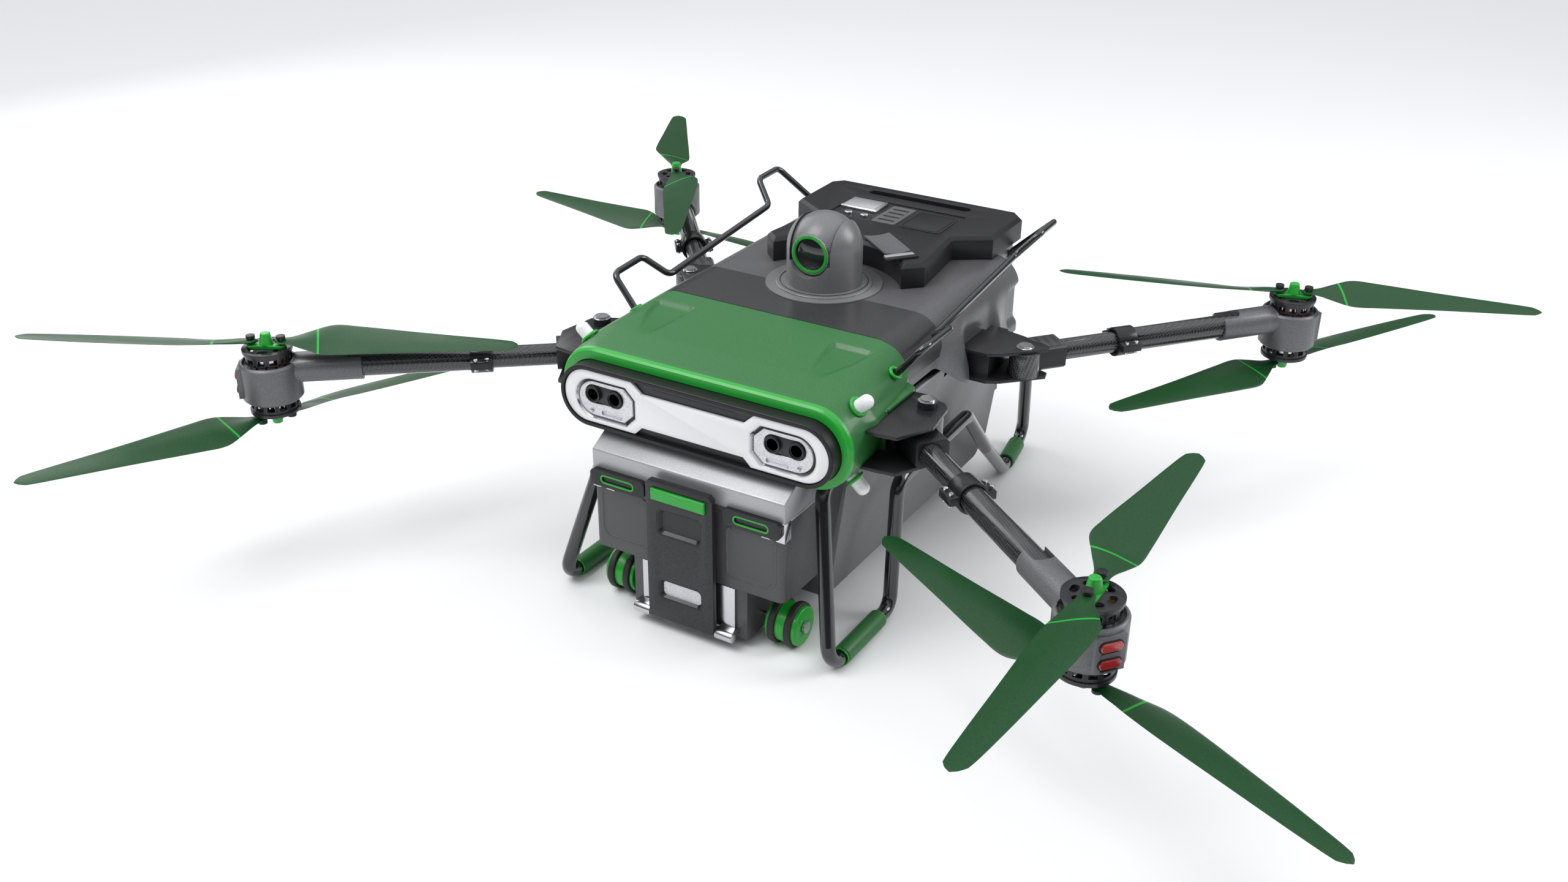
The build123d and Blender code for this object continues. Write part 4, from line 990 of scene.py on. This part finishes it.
dress(join(eye), "camera_ball", "camera_eye", "dome_grey", dome_grey, "camera_eye", angle=25)
for name, outer, inner, front, material in (
        ("camera_ring_grey", 0.0417, 0.0398, 0.0022, ring_grey),
        ("camera_ring_green", 0.0399, 0.0335, 0.0036, bright_green)):
    ring = drum((0, window_y + 0.0015, dome_z), outer, 0.0030 + 2 * front, "Y", 96)
    carve(ring, drum((0, window_y, dome_z), inner, 0.03, "Y", 96))
    dress(round_edges(ring, 0.0007, 2), name, "camera_eye", "dome_grey", material)
glass = skin(48, 16, lambda across, along: (
    0.0337 * along * cos(2 * pi * across), window_y - 0.0045 + 0.006 * along * along,
    dome_z + 0.0337 * along * sin(2 * pi * across)), closed=True)
modify(glass, "SOLIDIFY", thickness=0.002, offset=-1)
dress(glass, "camera_window", "camera_eye", "lens_black", lens_glass, angle=60)
dress(round_edges(join(loose("dome_base")), 0.0006, 2, 30), "dome_flange", "fuselage", "dome_grey", dome_grey,
      "dome_base")
band = seat_ring((0, dome_y, 0.5618), (0, 0, 1), 0.0905, 0.0009)
dress(band, "dome_flange_seam", "fuselage", "dome_grey", socket_black)

# ----------------------------------------------------------------------
# Front container: grey case and tower in one, satin silver lid, sliding
# clips and a swinging latch plate with two windows and a green push bar.
# ----------------------------------------------------------------------
case_grey = finish("case_grey", (0.050, 0.050, 0.054), (0.080, 0.080, 0.085), (0.33, 0.48),
                   speckle=700, bump=0.3)
latch_dark = finish("latch_dark", (0.018, 0.018, 0.020), (0.040, 0.040, 0.044), (0.3, 0.42), metal=0.3,
                    speckle=620, bump=0.35)
lid_silver = finish("lid_silver", (0.36, 0.36, 0.375), (0.47, 0.47, 0.485), (0.3, 0.42), metal=0.45,
                    speckle=560, bump=0.15)
case = join(loose("container_case"))
round_edges(case, 0.0025, 3, 30)
dress(case, "container_body", "container", "case_grey", case_grey, "container_case")
front_y = -0.450
groove_path = rounded([(-0.196, 0.268, 0.012), (-0.196, 0.158, 0.02), (-0.090, 0.158, 0.012),
                       (-0.090, 0.262, 0.01)], 8)
for side in (1, -1):
    points = groove_path if side < 0 else [(-x, z) for x, z in groove_path]
    clear()
    bpy.ops.mesh.primitive_grid_add(x_subdivisions=len(points) - 1, y_subdivisions=8, size=2)
    rib = bpy.context.object
    for vertex in rib.data.vertices:
        step = round((vertex.co.x + 1) / 2 * (len(points) - 1))
        turn = (vertex.co.y + 1) / 2 * pi
        x, z = points[step]
        ahead, behind = points[min(step + 1, len(points) - 1)], points[max(step - 1, 0)]
        run = Vector((ahead[0] - behind[0], ahead[1] - behind[1])).normalized()
        across = 0.0042 * cos(turn)
        vertex.co = (x - run.y * across, front_y + 0.0008 - 0.0022 * sin(turn), z + run.x * across)
    edit(rib, (bpy.ops.mesh.normals_make_consistent, {"inside": False}))
    if rib.data.polygons[20].normal.y > 0:
        rib.data.flip_normals()
    tag = "right" if side > 0 else "left"
    dress(rib, f"case_rib_{tag}", "container", "case_grey", case_grey, angle=60)
    corner_cap = block((side * 0.165, front_y - 0.0001, 0.262), (side * 0.2158, front_y + 0.024, 0.3030))
    dress(round_edges(corner_cap, 0.0012, 3), f"lid_corner_{tag}", "container", "lid_silver", steel_bright)
    ledge = block((side * 0.2130, front_y + 0.02, 0.2990), (side * 0.2156, -0.300, 0.3035))
    dress(round_edges(ledge, 0.0006, 2), f"case_ledge_{tag}", "container", "lid_silver", lid_silver)
lid = join(loose("container_lid"))
round_edges(lid, 0.0045, 4, 20)
dress(lid, "container_cover", "container", "lid_silver", lid_silver, "container_lid", angle=40)
hinge = join(loose("latch_hinge"))
dress(round_edges(hinge, 0.0010, 2, 30), "latch_hinge_plates", "container", "lid_silver", steel_bright,
      "latch_hinge")

latch = join(loose("latch_plate"))
round_edges(latch, 0.0014, 3, 30)
dress(latch, "latch_panel", "latch", "latch_dark", latch_dark, "latch_plate")
latch_front = -0.475
window_half = 0.050
windows = ((0.244, 0.058, lens_black), (0.096, 0.044, blasted_silver))
for number, (height, rise, backing) in enumerate(windows):
    half, lip = rise / 2, 0.0015
    rim_piece = plate(box_outline(-window_half, height - half, window_half, height + half, 0.012),
                      latch_front + 0.0006, latch_front + 0.0110, upright=True)
    hole = plate(box_outline(lip - window_half, height - half + lip, window_half - lip,
                             height + half - lip, 0.011),
                 latch_front - 0.002, latch_front + 0.0085, upright=True)
    for vertex in hole.data.vertices:
        if vertex.co.y > latch_front:
            vertex.co.x *= 0.88
            vertex.co.z = height + (vertex.co.z - height) * 0.74
    carve(rim_piece, hole)
    dress(round_edges(rim_piece, 0.0004, 2), f"latch_window_{number}", "latch", "latch_dark", clamp_black)
    low, high = height - rise * 0.37, height + rise * 0.37
    inset_plate = plate(box_outline(-0.043, low, 0.043, high, 0.008, 6), latch_front + 0.0075,
                        latch_front + 0.0088, upright=True)
    dress(inset_plate, f"latch_window_plate_{number}", "latch", "latch_dark", backing)
cover = plate(rounded([(-0.0735, 0.318, 0), (0.0735, 0.318, 0), (0.0735, 0.3225, 0), (0.0660, 0.3300, 0.002),
                       (-0.0660, 0.3300, 0.002), (-0.0735, 0.3225, 0)], 4), latch_front - 0.0016,
              latch_front + 0.0014, upright=True)
dress(round_edges(cover, 0.0007, 2), "latch_cover", "latch", "latch_dark", clamp_black)
bar = join(loose("latch_button"))
round_edges(bar, 0.0012, 3, 30)
dress(bar, "latch_bar", "latch_button", "latch_green", bright_green, "latch_button")

for tag, side in (("right", 1), ("left", -1)):
    clip = join(loose(f"clip_{tag}"))
    dress(round_edges(clip, 0.0022, 3, 30), f"clip_{tag}_slider", f"clip_{tag}", "clip_black", clamp_black,
          f"clip_{tag}")
    rim_piece = plate(slot_outline(side * 0.150, 0.290, 0.078, 0.019, 12), -0.4628, -0.4600, upright=True)
    carve(rim_piece, plate(slot_outline(side * 0.150, 0.290, 0.0715, 0.0125, 12), -0.47, -0.45, upright=True))
    dress(round_edges(rim_piece, 0.0006, 2), f"clip_{tag}_rim", f"clip_{tag}", "clip_black", bright_green)

# ----------------------------------------------------------------------
# Battery pack: black moulded cap over a cell case, with a handle, a let-in
# panel with a bright display, two buttons, a vent pad and a ribbed grip.
# ----------------------------------------------------------------------
pack_black = finish("pack_black", (0.010, 0.010, 0.011), (0.020, 0.020, 0.022), (0.32, 0.46),
                    speckle=760, shine=0.3, bump=0.25)
pack_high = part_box("pack_body")[1]
cap = join(loose("pack_body"))
round_edges(cap, 0.0045, 3, 30)
dress(cap, "pack_cap", "battery_pack", "pack_black", pack_black, "pack_body", angle=40)
cells = join(loose("pack_cells"))
round_edges(cells, 0.003, 3, 30)
dress(cells, "pack_cell_case", "battery_pack", "pack_black", case_grey, "pack_cells")
finger_pitch, finger_stretch = 0.040, 1.6
for row in range(6):
    across = -0.100 + finger_pitch * row
    finger = drum((across, pack_high.y - 0.0035, pack_high.z - 0.012), 0.0085, 0.016, "Z", 24,
                  end_radius=0.006)
    finger.data.transform(Matrix.Diagonal((finger_stretch, 1, 1, 1)))
    finger.data.transform(Matrix.Translation(Vector((across * (1 - finger_stretch), -0.0055, 0))))
    dress(round_edges(finger, 0.002, 3, 40), f"pack_finger_{row}", "battery_pack", "pack_black", pack_black)
display, *plain_pads = sorted(loose("pack_display"), key=lambda shape: middle_of(shape).x)
for shape in plain_pads:
    bpy.data.objects.remove(shape)
dress(round_edges(display, 0.0010, 2, 30), "pack_screen_frame", "battery_pack", "pack_trim", steel_bright,
      "pack_display")
screen = plate(box_outline(-0.129, 0.384, -0.053, 0.436, 0.003, 5), 0.6085, 0.6104)
dress(round_edges(screen, 0.0006, 2), "pack_screen", "battery_pack", "pack_trim", blasted_silver)
top = 0.6045
vent = plate(box_outline(-0.034, 0.330, 0.022, 0.442, 0.005, 6), top - 0.009, top)
for row in range(4):
    carve(vent, plate(slot_outline(-0.006, 0.350 + 0.024 * row, 0.040, 0.009, 8), top - 0.004, top + 0.01))
dress(round_edges(vent, 0.0008, 2), "pack_vent", "battery_pack", "pack_trim", pad_grey)
pad = plate(box_outline(0.030, 0.330, 0.128, 0.442, 0.012, 6), top - 0.009, top - 0.001)
groove = plate(box_outline(0.036, 0.336, 0.122, 0.436, 0.010, 6), top - 0.0022, top + 0.01)
carve(groove, plate(box_outline(0.0375, 0.3375, 0.1205, 0.4345, 0.009, 6), top - 0.01, top + 0.02))
dress(round_edges(carve(pad, groove), 0.0006, 2), "pack_pad", "battery_pack", "pack_trim", socket_black)
lie = Matrix.Translation(Vector((0.030, 0.236, 0.6062))) @ Matrix.Rotation(radians(-39.5), 4, "Z")
ribs = []
for row in range(18):
    rib = skin(16, 6, lambda across, along: (
        0.0062 * row + 0.0040 * along, 0.058 * (across - 0.5),
        0.0012 + 0.0030 * abs(2 * across - 1) ** 2 + 0.0008 * sin(pi * along)))
    modify(rib, "SOLIDIFY", thickness=0.003, offset=-1)
    rib.data.transform(lie)
    ribs.append(rib)
dress(join(ribs), "pack_grip_ribs", "battery_pack", "pack_trim", pad_grey)
for name, start, end, half, material in (("pack_grip_end", 0.1125, 0.126, 0.032, ring_grey),
                                         ("pack_end_block", 0.127, 0.139, 0.036, socket_black)):
    end_piece = block((start, -half, -0.002), (end, half, 0.0046))
    end_piece.data.transform(lie)
    dress(round_edges(end_piece, 0.0018, 3), name, "battery_pack", "pack_trim", material)
dark_pad = plate(rounded([(-0.129, 0.332, 0.006), (-0.118, 0.332, 0.004), (-0.118, 0.374, 0.004),
                          (-0.129, 0.374, 0.006)], 5), top - 0.009, top - 0.002)
dress(round_edges(dark_pad, 0.001, 2), "pack_dark_pad", "battery_pack", "pack_trim", socket_black)
for name in ("power_button", "check_button"):
    knob = join(loose(name))
    dress(round_edges(knob, 0.0006, 2, 30), f"{name}_cap", name, "pack_trim", steel_bright, name)

# ----------------------------------------------------------------------
# Wheels, gear, rails and inner parts: bright green hubs between black
# rubber rings, lacquered bent tube, green grips and moulded inner parts.
# ----------------------------------------------------------------------
gloss_black = finish("gloss_black_tube", (0.006, 0.006, 0.007), (0.010, 0.010, 0.011), (0.10, 0.17),
                     speckle=200, bump=0.02, coat=0.8)
rubber = finish("wheel_rubber", (0.010, 0.010, 0.010), (0.020, 0.020, 0.020), (0.5, 0.65),
                speckle=500, bump=0.3)
sleeve_green = finish("sleeve_green", (0.012, 0.105, 0.020), (0.02, 0.15, 0.030), (0.35, 0.5), speckle=500)
tank_plastic = finish("tank_plastic", (0.55, 0.57, 0.56), (0.66, 0.68, 0.67), (0.35, 0.5),
                      speckle=220, bump=0.15)
coat_node(gloss_black, "upper_rails", "landing_gear")
coat_node(sleeve_green, "gear_sleeves")
coat_node(steel_bright, "front_axle", "rear_axle")
coat_node(tank_plastic, "liquid_tank")
coat_node(pod_grey, "spray_pump")
coat_node(case_grey, "flight_controller")
for name in ("front_right", "front_left", "rear_right", "rear_left"):
    shapes = sorted(loose(f"wheel_{name}"), key=lambda piece: len(piece.data.vertices))
    body = f"wheel_{name}"
    hub, rings = shapes[0], shapes[1:]
    dress(round_edges(hub, 0.002, 3, 30), f"{body}_hub", body, "wheel_green", bright_green, body)
    dress(join(rings), f"{body}_rings", body, "wheel_green", rubber, angle=60)
    low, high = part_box(body)
    middle_y, middle_z = (low.y + high.y) / 2, (low.z + high.z) / 2
    for side, tag in ((1, "right"), (-1, "left")):
        x = (high.x if side > 0 else low.x) - side * 0.0012
        disc = drum((x, middle_y, middle_z), 0.0265, 0.0022, "X", 48)
        carve(disc, drum((x + side * 0.001, middle_y, middle_z), 0.0215, 0.0012, "X", 48))
        dress(round_edges(disc, 0.0004, 2), f"{body}_disc_{tag}", body, "wheel_green", cap_white)
for number, end_y in enumerate((-0.396, -0.2445)):
    rim_piece = seat_ring((0.309, end_y, 0.0187), (0, 1, 0), 0.0172, 0.0016)
    dress(twin(rim_piece), f"sleeve_rim_{number}_left", "fuselage", "green_sleeve", bright_green)
    dress(rim_piece, f"sleeve_rim_{number}_right", "fuselage", "green_sleeve", bright_green)

# ----------------------------------------------------------------------
# Lower hull and narrow tail: mid-grey moulded tub with a pale ledge along
# the top of each side, and a pale louvred tail hood under the pack.
# ----------------------------------------------------------------------
hull_grey = finish("hull_grey", (0.13, 0.13, 0.137), (0.19, 0.19, 0.20), (0.34, 0.48), metal=0.2, speckle=620,
                   bump=0.25)
tail_pale = finish("tail_pale", (0.24, 0.24, 0.25), (0.33, 0.33, 0.345), (0.34, 0.46), metal=0.25,
                   speckle=620, bump=0.2)
hull = join(loose("lower_hull"))
round_edges(hull, 0.003, 3, 30)
dress(hull, "hull_tub", "fuselage", "hull_grey", hull_grey, "lower_hull")
for side, tag in ((1, "right"), (-1, "left")):
    ledge = block((side * 0.2655, -0.280, 0.4175), (side * 0.2720, 0.425, 0.4245))
    dress(round_edges(ledge, 0.002, 3), f"hull_ledge_{tag}", "fuselage", "hull_grey", tail_pale)

tail_low, tail_high = 0.455, shell_high.z - 0.001


def tail_place(across, along):
    depth = 0.424 + (0.5395 - 0.424) * along
    back = max(0.0, (depth - 0.5235) / 0.016)
    inset = 0.016 * (1 - sqrt(max(0.0, 1 - min(1.0, back) ** 2)))
    x, z, heading = hood_point(across, 0.222 - inset, tail_high - inset, tail_low, 0.030)
    side = 1 if x > 0 else -1
    louvre = bump_between(z, 0.472, 0.520, 0.003) * bump_between(depth, 0.445, 0.515, 0.004)
    x -= side * 0.0035 * louvre * (0.5 + 0.5 * cos(2 * pi * (z - 0.472) / 0.012))
    return x, depth, z


tail = skin(260, 90, tail_place)
modify(tail, "SOLIDIFY", thickness=0.003, offset=-1)
dress(tail, "tail_hood", "fuselage", "grey_shell", tail_pale, angle=50)
back = plate(rounded([(-0.206, tail_low, 0.006), (0.206, tail_low, 0.006), (0.206, tail_high - 0.016, 0.02),
                      (-0.206, tail_high - 0.016, 0.02)], 8), 0.5345, 0.5392, upright=True)
for row in range(5):
    carve(back, plate(slot_outline(0, 0.470 + 0.012 * row, 0.30, 0.006, 6), 0.52, 0.56, upright=True))
dress(round_edges(back, 0.001, 2), "tail_back", "fuselage", "grey_shell", tail_pale)
